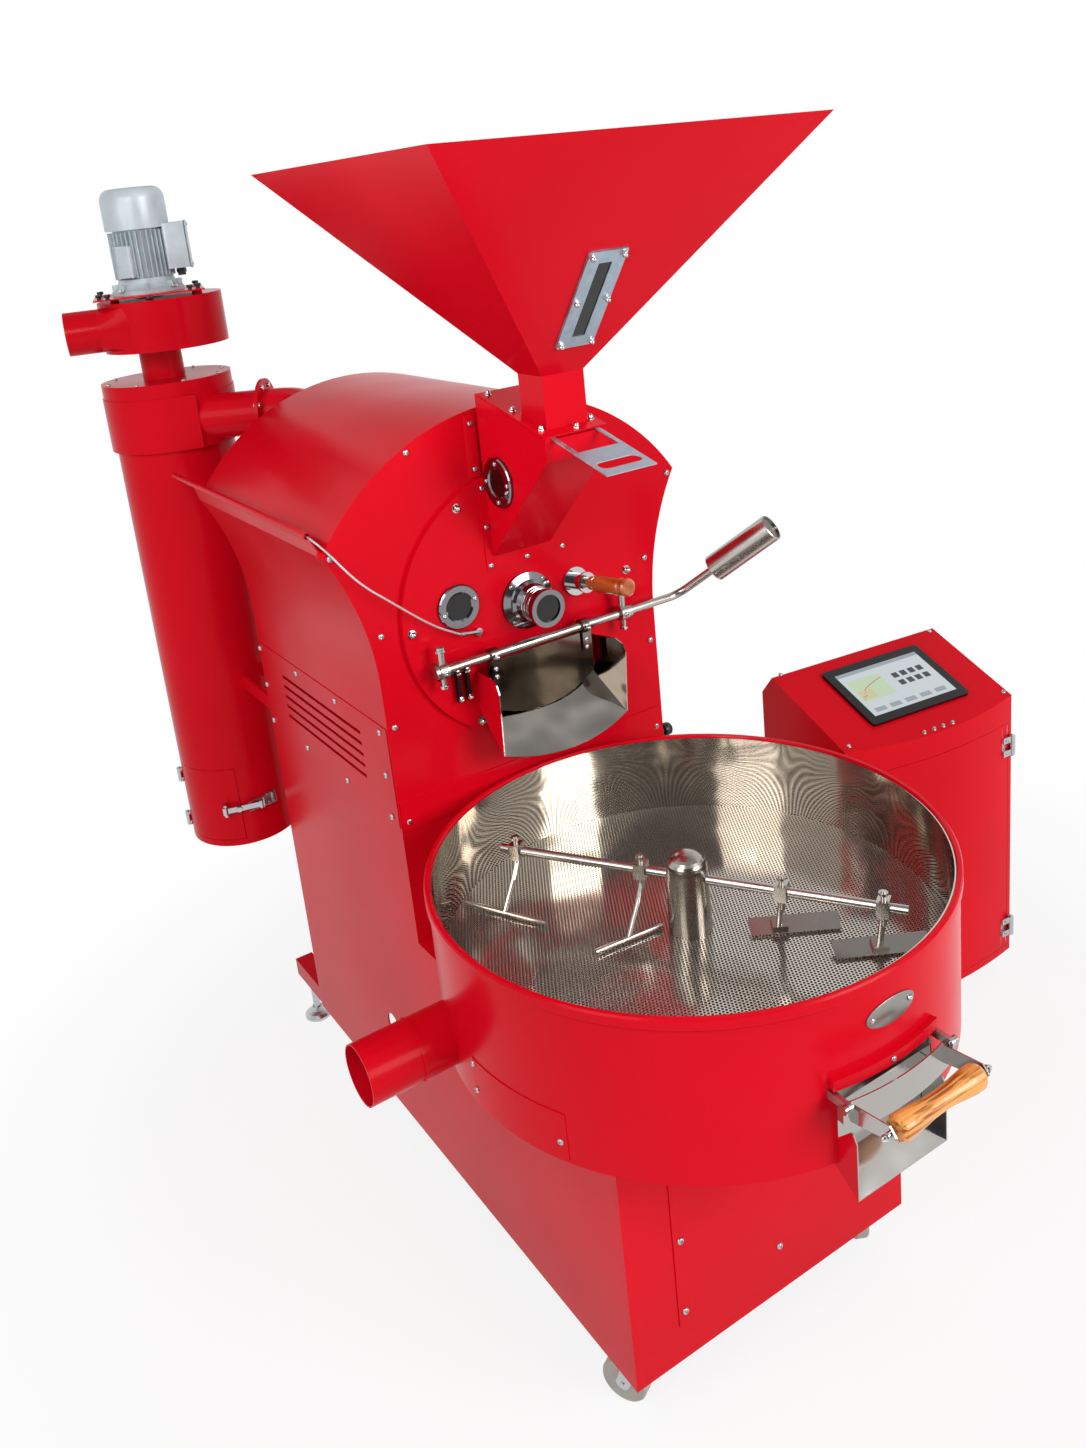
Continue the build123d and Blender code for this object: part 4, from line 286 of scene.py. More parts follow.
@dataclass(frozen=True)
class PerforatedSheet(Finish):
    """Punched stainless sheet, staggered round holes painted dark with the shade seen through them."""
    pitch_mm: float = 6.0       # the real holes sit closer; this coarse, they still show
    hole_mm: float = 4.1
    # colour of the holes: painted shade, the dark seen through them below the floor
    under: str = "#120e0b"
    rim: float = 0.05           # half the width of a hole's rounded rim, in pitches
    sag_mm: float = 150.0       # thin sheet dishes between its supports, which breaks up reflections
    sag_depth_mm: float = 9.0
    under_roughness: float = 0.9

    def holes(self, tree: Tree) -> Socket:
        """Lays two rectangular lattices half a step apart; returns the distance to the nearest hole."""
        root3 = math.sqrt(3)
        pitch = self.pitch_mm * MM
        steps = (1 / pitch, 1 / (root3 * pitch), 0)
        grid = vector_maths(tree, "MULTIPLY", own_place(tree), steps).outputs[0]
        away = []
        for half in (0.0, 0.5):
            moved = vector_maths(tree, "ADD", grid, (half, half, 0.0)).outputs[0]
            cell = vector_maths(tree, "FRACTION", moved).outputs[0]
            middle = vector_maths(tree, "MULTIPLY_ADD", cell, (1, root3, 0), (-0.5, -0.5 * root3, 0))
            away.append(vector_maths(tree, "LENGTH", middle.outputs[0]).outputs["Value"])
        return maths(tree, "MINIMUM", *away)

    def lay(self, tree: Tree, shader: Node) -> None:
        """Paints the holes with the dark shade seen through them and dulls them, rounds their rims and lets
        the sheet sag.
        """
        edge = self.hole_mm / self.pitch_mm / 2
        land = remap(tree, self.holes(tree), (edge - self.rim, edge + self.rim), (0.0, 1.0))
        self.tint(tree, shader, land, [(0.0, self.under), (1.0, self.colour)])
        tree.links.new(land, shader.inputs["Metallic"])
        dull = remap(tree, land, (0.0, 1.0), (self.under_roughness, self.roughness))
        tree.links.new(dull, shader.inputs["Roughness"])
        sag = self.noise(tree, 1000 / self.sag_mm, Grain.EVEN, 1.0)
        self.bump(tree, shader, sag, self.sag_depth_mm, 1.0)
        self.bump(tree, shader, land, 0.6, 0.6)


@dataclass(frozen=True)
class GalvanisedSheet(Finish):
    """Hot-dip galvanised sheet: bluish zinc crystals about 9 mm across."""
    crystal_mm: float = 9.0
    shade: str = "#a2b4c0"

    def lay(self, tree: Tree, shader: Node) -> None:
        """Varies shade and gloss from crystal to crystal."""
        crystals = add_node(tree, "ShaderNodeTexVoronoi", {"Scale": 1000 / self.crystal_mm},
                            {"Vector": own_place(tree)})
        tone = add_node(tree, "ShaderNodeSeparateColor", links={0: crystals.outputs["Color"]}).outputs[0]
        self.tint(tree, shader, tone, [(0.0, self.shade), (1.0, self.colour)])
        self.spread(tree, shader, "Roughness", tone, self.roughness * 0.8, self.roughness * 1.25)


@dataclass(frozen=True)
class Hardwood(Finish):
    """Turned hardwood under clear varnish: darker growth streaks along the grain, fine pores."""
    dark: str = "#9a4a10"
    grain: Grain = Grain.ALONG_X
    ring_mm: float = 5.0

    def lay(self, tree: Tree, shader: Node) -> None:
        """Adds growth streaks and pores."""
        streaks = self.noise(tree, 1000 / self.ring_mm, self.grain, 5.0)
        self.tint(tree, shader, streaks, [(0.36, self.dark), (0.5, self.colour), (0.66, "#f0a552")])
        self.bump(tree, shader, self.noise(tree, 1800.0, self.grain), 0.03, 0.4)


@dataclass(frozen=True)
class AmberResin(Finish):
    """Cast amber resin, turned and polished: light goes a little way in, with darker swirls."""
    glow: float = 0.35

    def lay(self, tree: Tree, shader: Node) -> None:
        """Adds swirls and lets some light through."""
        shader.inputs["Transmission Weight"].default_value = self.glow
        swirl = self.noise(tree, 70.0, Grain.ALONG_Y, 4.0)
        self.tint(tree, shader, swirl, [(0.35, "#b4501a"), (0.65, self.colour)])


@dataclass(frozen=True)
class SightGlass(Finish):
    """Borosilicate sight glass with roasting film behind it: clear gloss over a brown dark, partly the film
    and partly painted shade of the drum inside.
    """
    through: float = 0.45

    def lay(self, tree: Tree, shader: Node) -> None:
        """Lets light through and adds a thin uneven film, whose near-black tones are partly painted shade of
        the drum inside.
        """
        shader.inputs["Transmission Weight"].default_value = self.through
        film = self.noise(tree, 45.0, Grain.EVEN, 4.0)
        self.tint(tree, shader, film, [(0.3, "#0d0a08"), (0.75, self.colour)])


@dataclass(frozen=True)
class CastEnamel(Finish):
    """Enamel sprayed on cast aluminium: the casting's grain shows through."""
    sand_mm: float = 1.4
    shade: str = "#b0bcc2"

    def lay(self, tree: Tree, shader: Node) -> None:
        """Adds the cast grain and slight shade changes."""
        self.tint(tree, shader, self.noise(tree, 25.0, Grain.EVEN), [(0.3, self.shade), (0.7, self.colour)])
        self.bump(tree, shader, self.noise(tree, 1000 / self.sand_mm, Grain.EVEN), 0.12, 0.35)


@dataclass(frozen=True)
class WovenBraid(Finish):
    """Steel-wire braid: crossing strands about 1.2 mm wide."""
    strand_mm: float = 1.2

    def lay(self, tree: Tree, shader: Node) -> None:
        """Adds diagonal strands."""
        across = add_node(tree, "ShaderNodeMapping", {"Rotation": (0.0, 0.7, 0.8)},
                          {"Vector": own_place(tree)})
        weave = add_node(tree, "ShaderNodeTexChecker", {"Scale": 1000 / self.strand_mm},
                         {"Vector": across.outputs[0]})
        self.tint(tree, shader, weave.outputs["Fac"], [(0.0, "#9aa0a4"), (1.0, self.colour)])
        self.bump(tree, shader, weave.outputs["Fac"], 0.15, 0.5)


@dataclass(frozen=True)
class LitScreen(Finish):
    """A lit area of the liquid-crystal screen behind its slightly uneven front."""
    light: float = 0.9
    off: str = "#0d0e10"

    def lay(self, tree: Tree, shader: Node) -> None:
        """Lets the area glow evenly and varies its gloss a little."""
        shader.inputs["Base Color"].default_value = linear(self.off)
        shader.inputs["Emission Color"].default_value = linear(self.colour)
        shader.inputs["Emission Strength"].default_value = self.light
        self.spread(tree, shader, "Roughness", self.noise(tree, 900.0, Grain.EVEN), 0.15, 0.3)


# Coat of all sheet metal: a deep even red with a clear soft highlight along each fold
RED = PowderCoat("red_powder_coat_gloss", Slot.RED, "#dc0720", 0.24, specular=0.06, coat=0.03,
                 coat_roughness=0.06)
# Polished rod, with a clear soft reflection
POLISHED_BAR = Stainless("stainless_bar_polished", Slot.POLISHED, "#bcb7b1", 0.27, 1.0, grain=Grain.EVEN,
                         streak=0.1)
# End of a turned bar: the tool's rings make it duller and darker than its side
TURNED_FACE = Stainless("stainless_turned_face", Slot.POLISHED, "#6f6a66", 0.3, 1.0, grain=Grain.EVEN,
                        streak=0.3)
# Flat polished sheet, which bends its soft reflections a little
POLISHED_SHEET = Stainless("stainless_sheet_polished", Slot.POLISHED, "#c9c5c0", 0.15, 1.0, streak=0.3,
                           wave_mm=0.5)
# Cast hub, brushed upright, which draws its highlight out into a streak
BRUSHED_HUB = Stainless("stainless_hub_brushed", Slot.POLISHED, "#aba49c", 0.2, 1.0, streak=0.5)
# Etched badge plate, darker and duller than the sheet round it
BRUSHED_BADGE = Stainless("stainless_badge_brushed", Slot.POLISHED, "#9a9894", 0.3, 1.0, grain=Grain.ALONG_X,
                          streak=0.5)
# Chute below the drum: thin mirror sheet, bent and beaten by beans
CHUTE_MIRROR = Stainless("stainless_mirror_chute", Slot.MIRROR, "#b3ada6", 0.06, 1.0, streak=0.1, wave_mm=5.0)
# Tray outlet: duller mirror sheet
OUTLET_SHEET = Stainless("stainless_sheet_outlet", Slot.POLISHED, "#b5b2ae", 0.12, 1.0, streak=0.3,
                         wave_mm=2.5)
# Turned sight-glass flanges, darker than the plated rings on them: a painted dark reflection
TURNED_FLANGE = Stainless("sight_flange_turned", Slot.CHROME, "#86868a", 0.1, 1.0, grain=Grain.EVEN,
                          streak=0.2)
# Front door of the drum and the chute's cheeks: brown-grey mirror, partly heat tint and partly a painted dark
# reflection
HEAT_TINT_AND_SHADE_MIRROR = Stainless("stainless_mirror_heat_tint_and_shade", Slot.MIRROR, "#7d766c", 0.08, 1.0, streak=0.2,
                          wave_mm=1.0)
# Tray's liner: nearly a mirror, drawn out upright by its grinding
TRAY_WALL = Stainless("stainless_tray_wall", Slot.MIRROR, "#cdc4b8", 0.05, 1.0, streak=0.3, wave_mm=0.8)
# Tray's floor: bright metal between round holes painted dark with the shade seen through them
PERFORATED = PerforatedSheet("stainless_perforated_floor", Slot.PERFORATED, "#d6cfc5", 0.17, 1.0)
# Plated fittings and cap nuts: sharp small highlights
CHROME = Finish("chrome_plate_bright", Slot.CHROME, "#c6c6c8", 0.06, 1.0)
# Plated screws, hinges and forks: paler and duller than chrome
ZINC = Finish("zinc_plate_clear", Slot.ZINC, "#bfc2c4", 0.3, 1.0)
# Window frame, slide gate and impeller: pale bluish crystals, without a mirror image
GALVANISED = GalvanisedSheet("galvanised_sheet_spangled", Slot.GALVANISED, "#b4c9d6", 0.4, 0.85)
# Hanging links of the discharge: a dark break between bright parts
BLACK_OXIDE = Finish("steel_black_oxide", Slot.BLACK, "#1d1b1c", 0.35, 0.7)
# Drum behind the glasses: brownish steel, dulled by heat
DRUM_STEEL = Stainless("drum_steel_heat_darkened", Slot.DRUM, "#5a544d", 0.45, 1.0)
# Motors' castings: light silver-grey with a soft grain
ENAMEL = CastEnamel("motor_enamel_silver_grey", Slot.MOTOR, "#c3cfd4", 0.33, 0.1)
# Outlet's grip: warm wood, streaked, under a thin gloss
BEECH = Hardwood("oiled_hardwood_grip", Slot.WOOD, "#e39a45", 0.36, coat=0.3, coat_roughness=0.15)
# Trier's grip: glossy orange that glows a little from within
AMBER = AmberResin("amber_resin_grip", Slot.WOOD, "#e8833a", 0.16, coat=0.5)
# Sight glasses: clear gloss over a brown dark, partly roasting film and partly painted shade of the drum
# inside
GLASS = SightGlass("borosilicate_sight_glass", Slot.GLASS, "#1c1611", 0.04)
# Probe's lead: pale fine weave
BRAID = WovenBraid("steel_wire_braid", Slot.CABLE, "#e2e3e4", 0.35, 0.6)
# Screen's front: black with a clear reflection
POLYCARBONATE = Finish("polycarbonate_black_gloss", Slot.PLASTIC, "#0a0a0b", 0.16, specular=0.3, coat=0.2)
# Knobs and gland: plain dull black nylon; the same black is the painted shade of the fan slots
BLACK_NYLON_AND_SLOT_SHADE = Finish("nylon_black_knob_and_slot_shade", Slot.PLASTIC, "#151517", 0.4)
# Casters' elastic tyres: pale grey with a soft gloss
TYRE = Finish("polyurethane_tyre_grey", Slot.RUBBER, "#a7a29c", 0.42)


# Shapes -------------------------------------------------------------------------------------------------
def shift(x: float, y: float, z: float) -> Matrix:
    """Placement moved by x, y and z, in millimetres."""
    return Matrix.Translation(Vector((x, y, z)) * MM)


def turned(degrees: float, axis: str) -> Matrix:
    """Placement turned about an axis."""
    return Matrix.Rotation(math.radians(degrees), 4, axis)


def polar(r: float, degrees: float) -> Pair:
    """A point at a radius and an angle round the origin."""
    return r * math.cos(math.radians(degrees)), r * math.sin(math.radians(degrees))


def hexagon(angle: float) -> float:
    """Radius factor that turns a circle of the across-corners radius into a hexagon."""
    return math.cos(math.pi / 6) / math.cos((angle % (math.pi / 3)) - math.pi / 6)


def lathe(profile: Outline, steps: int = 32, hexed: Iterable[int] = ()) -> Mesh:
    """Turns a profile round the Z axis.

    Args:
        profile: (radius, height) points in millimetres, closed on themselves unless they end on the axis.
        steps: segments round the axis, a multiple of six.
        hexed: indices of profile points that are drawn as a hexagon.

    Returns:
        The mesh, in metres.
    """
    bm = bmesh.new()
    rings: list[list[bmesh.types.BMVert]] = []
    hexed = set(hexed)
    for i, (r, h) in enumerate(profile):
        if r < 1e-6:
            rings.append([bm.verts.new((0, 0, h * MM))])
            continue
        ring = []
        for k in range(steps):
            a = 2 * math.pi * k / steps
            rr = r * (hexagon(a) if i in hexed else 1.0) * MM
            ring.append(bm.verts.new((rr * math.cos(a), rr * math.sin(a), h * MM)))
        rings.append(ring)
    if profile[0][0] > 1e-6:
        rings.append(rings[0])
    for low, high in zip(rings, rings[1:]):
        for k in range(steps):
            j = (k + 1) % steps
            corners = [low[k % len(low)], low[j % len(low)], high[j % len(high)], high[k % len(high)]]
            unique = list(dict.fromkeys(corners))
            if len(unique) > 2:
                bm.faces.new(unique)
    return shape_of(bm)


def slab(outline: Outline, height: float, bevel: float = 0.0) -> Mesh:
    """Extrudes an outline upwards from Z 0 and rounds its edges.

    Args:
        outline: (x, y) points in millimetres.
        height: thickness in millimetres.
        bevel: edge radius in millimetres.

    Returns:
        The mesh, in metres.
    """
    bm = bmesh.new()
    base = [bm.verts.new((x * MM, y * MM, 0)) for x, y in outline]
    face = bm.faces.new(base)
    raised = bmesh.ops.extrude_face_region(bm, geom=[face])["geom"]
    top = [v for v in raised if isinstance(v, bmesh.types.BMVert)]
    bmesh.ops.translate(bm, vec=(0, 0, height * MM), verts=top)
    if bevel:
        edges = [e for e in bm.edges if any(v in top for v in e.verts)]
        bmesh.ops.bevel(bm, geom=edges, offset=bevel * MM, segments=2, affect="EDGES", profile=0.5)
    return shape_of(bm)


def shape_of(bm: bmesh.types.BMesh) -> Mesh:
    """Closes off a bmesh into a mesh with outward normals."""
    bmesh.ops.recalc_face_normals(bm, faces=bm.faces)
    mesh = bpy.data.meshes.new("shape")
    bm.to_mesh(mesh)
    bm.free()
    return mesh


def rectangle(width: float, height: float, corner: float = 0.0) -> list[Pair]:
    """Outline of a centred rectangle with rounded corners, in millimetres."""
    points = []
    for sx, sy, start in ((1, 1, 0), (-1, 1, 90), (-1, -1, 180), (1, -1, 270)):
        cx, cy = sx * (width / 2 - corner), sy * (height / 2 - corner)
        for a in range(0, 91, 15) if corner else (0,):
            dx, dy = polar(corner, start + a)
            points.append((cx + dx, cy + dy))
    return points


def button_screw(r: float) -> Mesh:
    """Button-head socket screw with a head of radius r millimetres."""
    profile = [(0, 0), (r, 0), (r, 0.12 * r), (0.94 * r, 0.32 * r), (0.8 * r, 0.5 * r), (0.6 * r, 0.6 * r),
               (0.44 * r, 0.62 * r), (0.42 * r, 0.3 * r), (0, 0.3 * r)]
    return lathe(profile, 24, hexed=(6, 7))


def dome_nut(r: float) -> Mesh:
    """Domed cap nut on a washer; r is the hexagon's corner radius in millimetres."""
    profile = [(0, 0), (1.25 * r, 0), (1.25 * r, 0.18 * r), (r, 0.2 * r), (r, 0.85 * r), (0.8 * r, 0.95 * r),
               (0.76 * r, 1.25 * r), (0.55 * r, 1.55 * r), (0.28 * r, 1.7 * r), (0, 1.74 * r)]
    return lathe(profile, 24, hexed=(3, 4))


def hex_bolt(r: float) -> Mesh:
    """Hexagon head with its chamfer; r is the corner radius in millimetres."""
    profile = [(0, 0), (r, 0), (r, 0.55 * r), (0.9 * r, 0.62 * r), (0, 0.62 * r)]
    return lathe(profile, 24, hexed=(1, 2))


def facing(point: Vector, normal: Sequence[float], spin: float = 0.0) -> Matrix:
    """Placement with local Z along a normal.

    Args:
        point: where the local origin goes, in metres.
        normal: direction of the local Z axis.
        spin: turn about that axis, in degrees.

    Returns:
        The placement matrix.
    """
    turn = Vector(normal).to_track_quat("Z", "Y").to_matrix().to_4x4()
    return Matrix.Translation(point) @ turn @ turned(spin, "Z")


def show(item: bpy.types.Object) -> bpy.types.Object:
    """Puts an object into the scene and returns it."""
    bpy.context.scene.collection.objects.link(item)
    return item


class Maker:
    """Collects shapes into one piece, then hangs it on a body."""

    def __init__(self, name: str) -> None:
        """Starts an empty piece."""
        self.name = name
        self.bm = bmesh.new()
        self.finishes: list[Finish] = []

    def add(self, shape: Mesh, place: Matrix, finish: Finish) -> None:
        """Adds a copy of a shape at a placement, in a finish."""
        verts, faces = len(self.bm.verts), len(self.bm.faces)
        self.bm.from_mesh(shape)
        self.bm.verts.ensure_lookup_table()
        self.bm.faces.ensure_lookup_table()
        bmesh.ops.transform(self.bm, matrix=place, verts=self.bm.verts[verts:])
        if finish not in self.finishes:
            self.finishes.append(finish)
        for face in self.bm.faces[faces:]:
            face.material_index = self.finishes.index(finish)
            face.smooth = True

    def scatter(self, shape: Mesh, points: Iterable[Vector], normal: Sequence[float],
                finish: Finish) -> None:
        """Adds a shape at several points that face the same way, each turned a little differently."""
        for i, point in enumerate(points):
            self.add(shape, facing(point, normal, 37.0 * i), finish)

    def done(self, body: str) -> bpy.types.Object:
        """Turns the collected shapes into an object that rides on a body, and returns it."""
        mesh = bpy.data.meshes.new(self.name)
        self.bm.to_mesh(mesh)
        self.bm.free()
        mesh.set_sharp_from_angle(angle=math.radians(SHARP_PIECE))
        for finish in self.finishes:
            mesh.materials.append(finish.material())
        piece = show(bpy.data.objects.new(self.name, mesh))
        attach(piece, body)
        log.info("%s rides on %s, %d faces", self.name, body, len(mesh.polygons))
        return piece


@dataclass(frozen=True)
class Datum:
    """The machine's datum: front plate's face, drum's upright middle plane and the floor."""
    x: float
    y: float

    @classmethod
    def from_frame(cls) -> "Datum":
        """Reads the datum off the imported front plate."""
        low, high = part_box("front_plate")
        return cls((low.x + high.x) / 2, high.y - FRONT_PLATE * MM)

    def at(self, x: float, y: float, z: float) -> Vector:
        """A point given in millimetres from the datum, in the frame's metres."""
        return Vector((self.x + x * MM, self.y + y * MM, z * MM))


def dress(finish: Finish, *nodes: str) -> None:
    """Gives CAD nodes a finish and smooth shading between their sharp edges."""
    for node in nodes:
        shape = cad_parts[node].data
        shape.materials.clear()
        shape.materials.append(finish.material())
        for face in shape.polygons:
            face.use_smooth = True
            face.material_index = 0
        shape.set_sharp_from_angle(angle=math.radians(SHARP_CAD))


def dress_faces(node: str, finish: Finish, picks: Any) -> None:
    """Gives part of a CAD node a second finish.

    Args:
        node: the node's name.
        finish: the second finish.
        picks: a test of a face's centre and normal, true where the finish goes.
    """
    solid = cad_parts[node]
    solid.data.materials.append(finish.material())
    index = len(solid.data.materials) - 1
    for face in solid.data.polygons:
        if picks(face.center, face.normal):
            face.material_index = index


# Sub-assemblies -----------------------------------------------------------------------------------------
@dataclass
class Bodywork:
    """Base, side panels, drum cover, end plates and the screws that hold them."""
    datum: Datum
    half_width: float = 281.0
    louvre_proud: float = 1.5
    base_face: float = -569.0
    screw_r: float = 5.6
    knob_spot: Pair = (12.0, 781.0)
    front_screws: Outline = ((268, 1138), (267, 977), (265, 802), (-268, 1138), (-267, 977), (-265, 802),
                             (333, 1284), (150, 1440), (-181, 1425))
    tab_screw: Point = (-335, -2, 1287)
    side_screws: Outline = ((589, 963), (396, 963), (214, 963), (30, 963), (583, 885), (28, 885), (579, 806),
                            (399, 806), (212, 806), (29, 806))
    base_screws: Outline = ((-184, 500), (-183, 320), (-184, 190), (5, 190), (184, 190), (183, 320),
                            (184, 500))

    def dress(self) -> None:
        """Coats the panels red and gives feet, gearmotors and drum their own metals."""
        dress(RED, "base_frame", "side_panel_left", "side_panel_right", "base_front_panel", "rear_plate",
              "front_plate", "drum_cover", "flares")
        dress(ZINC, "rear_feet")
        dress(ENAMEL, "gearmotors")
        dress(DRUM_STEEL, "drum")

    def build(self) -> None:
        """Adds the screws and the side knob."""
        d = self.datum
        front = [d.at(x, 0, z) for x, z in self.front_screws] + [d.at(*self.tab_screw)]
        self.screws("front_plate_screws", front, FRONT)
        for side, name in ((-1, "left"), (1, "right")):
            face = side * (self.half_width + self.louvre_proud)
            self.screws(f"side_screws_{name}", [d.at(face, y, z) for y, z in self.side_screws], (side, 0, 0))
        self.screws("base_cover_screws", [d.at(x, self.base_face, z) for x, z in self.base_screws], FRONT)
        knob = Maker("side_knob")
        shape = lathe([(0, 0), (7, 0), (7, 6), (12, 9), (13, 14), (12, 22), (9, 25), (0, 25)], 36)
        knob.add(shape, facing(d.at(self.half_width, *self.knob_spot), (1, 0, 0)), BLACK_NYLON_AND_SLOT_SHADE)
        knob.done("root")

    def screws(self, name: str, points: Sequence[Vector], normal: Sequence[float]) -> None:
        """Makes one piece of like screws that face the same way."""
        piece = Maker(name)
        piece.scatter(button_screw(self.screw_r), points, normal, ZINC)
        piece.done("root")


@dataclass
class DrumFace:
    """The drum's front disc with its sight glasses, trier, door gear and discharge chute."""
    datum: Datum
    drum_z: float = 1130.0
    bolt_circle: float = 218.0
    disc_y: float = -10.0
    shaft_y: float = -36.0
    shaft_z: float = 1063.0
    lever: Point = (0.469, -0.658, 0.590)
    weight_r: float = 25.0
    post_x: float = 184.0
    post_top: float = 33.0
    post_foot: float = 26.0
    post_face: float = 14.0
    link_xs: Pair = (-150.0, -132.0)
    link_ys: Pair = (-24.5, -12.5)
    link_nut_y: float = -24.0
    link_top: float = 1060.0
    link_drops: Pair = (18.0, 66.0)
    clamp_xs: Pair = (-88.0, 98.0)
    clamp_face: float = 13.0
    clamp_leg_face: float = 7.0
    clamp_drops: Pair = (24.0, 38.0)
    barrel_r: float = 29.5
    ring_back: float = 14.0
    centre_x: float = 5.0
    centre_circle: float = 44.5
    centre_face: float = -16.0
    left_sight: Point = (-128.0, -17.0, 1154.0)
    left_circle: float = 31.0
    chute_sight: Point = (-58.0, -61.0, 1357.0)
    chute_circle: float = 32.0

    def dress(self) -> None:
        """Coats the disc red and gives the door gear its metals."""
        d = self.datum
        dress(RED, "drum_front_disc")
        proud = d.at(0, self.disc_y - 1, 0).y
        dress_faces("drum_front_disc", POLISHED_SHEET, lambda c, n: c.y < proud)
        dress(TURNED_FLANGE, "sight_flanges")
        dress(CHROME, "trier_socket", "probe_fitting")
        dress(GLASS, "sight_glasses")
        dress(AMBER, "trier_handle")
        dress(POLISHED_BAR, "trier_scoop", "door_posts", "door_shaft")
        near, far = (d.at(0, y, 0).y for y in self.link_ys)
        dress_faces("door_posts", BLACK_OXIDE, lambda c, n: near < c.y < far and c.z < self.link_top * MM)
        tip = max(v.co.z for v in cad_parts["door_shaft"].data.vertices)
        dress_faces("door_shaft", TURNED_FACE,
                    lambda c, n: n.dot(Vector(self.lever)) > 0.98 and c.z > tip - 2 * self.weight_r * MM)
        dress(HEAT_TINT_AND_SHADE_MIRROR, "discharge_door")
        dress(CHUTE_MIRROR, "discharge_chute")
        # the cheeks get the darker sheet as a painted dark reflection
        dress_faces("discharge_chute", HEAT_TINT_AND_SHADE_MIRROR, lambda c, n: abs(n.x) > 0.6)
        dress_faces("discharge_chute", RED, lambda c, n: abs(n.x) > 0.9 and n.x * (c.x - d.x) > 0)

    def build(self) -> None:
        """Adds the disc's nuts, the sight glasses' screws and the centre sight's rings."""
        d = self.datum
        bolts = Maker("disc_bolts")
        places = [polar(self.bolt_circle, a) for a in range(0, 360, 60)]
        spots = [d.at(x, self.disc_y, self.drum_z + z) for x, z in places]
        bolts.scatter(dome_nut(6.2), spots, FRONT, CHROME)
        small = button_screw(4.2)
        for a in (45, 135, 225, 315):
            x, z = polar(self.centre_circle, a)
            spot = d.at(self.centre_x + x, self.centre_face, self.drum_z + z)
            bolts.add(small, facing(spot, FRONT, a), CHROME)
        left, chute = self.left_sight, self.chute_sight
        for a in (15, 195):
            x, z = polar(self.left_circle, a)
            bolts.add(small, facing(d.at(left[0] + x, left[1], left[2] + z), FRONT, a), CHROME)
        for a in (0, 90, 180, 270):
            y, z = polar(self.chute_circle, a)
            bolts.add(small, facing(d.at(chute[0], chute[1] + y, chute[2] + z), (-1, 0, 0), a), CHROME)
        r = self.barrel_r
        for start, wide, proud in ((44, 3.0, 1.6), (52, 2.2, 1.0), (60, 3.0, 1.6)):
            ring = lathe([(r - 1, 0), (r, 0), (r + proud, 0.7), (r + proud, wide - 0.7), (r, wide),
                          (r - 1, wide)], 48)
            spot = d.at(self.centre_x, self.disc_y - start + self.ring_back, self.drum_z)
            bolts.add(ring, facing(spot, FRONT), CHROME)
        bolts.done("root")
        self.door_screws()

    def door_screws(self) -> None:
        """Adds the screws of the shaft's posts and of the door's clamps."""
        d, y, z = self.datum, self.shaft_y, self.shaft_z
        posts = Maker("post_screws")
        for x in (-self.post_x, self.post_x):
            posts.add(hex_bolt(8.5), facing(d.at(x, y, z + self.post_top), (0, 0, 1)), CHROME)
            posts.add(hex_bolt(7.5), facing(d.at(x, y, z - self.post_foot), (0, 0, -1)), CHROME)
            posts.add(button_screw(5), facing(d.at(x, y - self.post_face, z), FRONT), CHROME)
        for x in self.link_xs:
            for drop in self.link_drops:
                posts.add(dome_nut(4.2), facing(d.at(x, self.link_nut_y, z - drop), FRONT), CHROME)
        posts.done("root")
        clamps = Maker("clamp_screws")
        for x in self.clamp_xs:
            clamps.add(dome_nut(5), facing(d.at(x, y - self.clamp_face, z), FRONT), CHROME)
            for drop in self.clamp_drops:
                spot = d.at(x, y - self.clamp_leg_face, z - drop)
                clamps.add(button_screw(4.4), facing(spot, FRONT), CHROME)
        clamps.done("discharge_door")


@dataclass
class ProbeLead:
    """Braided lead of the bean probe, from its grommet in the cable tube down to the disc."""
    datum: Datum
    radius: float = 1.8
    length: float = 350.4
    route: Sequence[Point] = (
        (-358, 46, 1325), (-358, 12, 1325), (-336.4, -9, 1294.8), (-325.8, -16, 1277.3), (-307, -20, 1251),
        (-285.4, -23, 1227.5), (-261, -26, 1206.2), (-233, -27, 1181), (-199.8, -27, 1151.9),
        (-168, -26.5, 1128), (-136, -24, 1110.5))

    def build(self) -> None:
        """Draws the lead as one smooth curve in place of the CAD cable."""
        curve = bpy.data.curves.new("probe_lead", "CURVE")
        curve.dimensions = "3D"
        curve.bevel_depth = self.radius * MM
        curve.bevel_resolution = 6
        curve.resolution_u = 12
        curve.use_fill_caps = True
        line = curve.splines.new("NURBS")
        line.points.add(len(self.route) - 1)
        for point, place in zip(line.points, self.route):
            point.co = (*self.datum.at(*place), 1.0)
        line.order_u = 3
        line.use_endpoint_u = True
        curve.materials.append(BRAID.material())
        lead = show(bpy.data.objects.new("probe_lead", curve))
        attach(lead, "root")
        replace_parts(lead, "probe_cable")
        tuple(self.datum.at(*self.route[0]))
        log.info("probe_lead drawn")


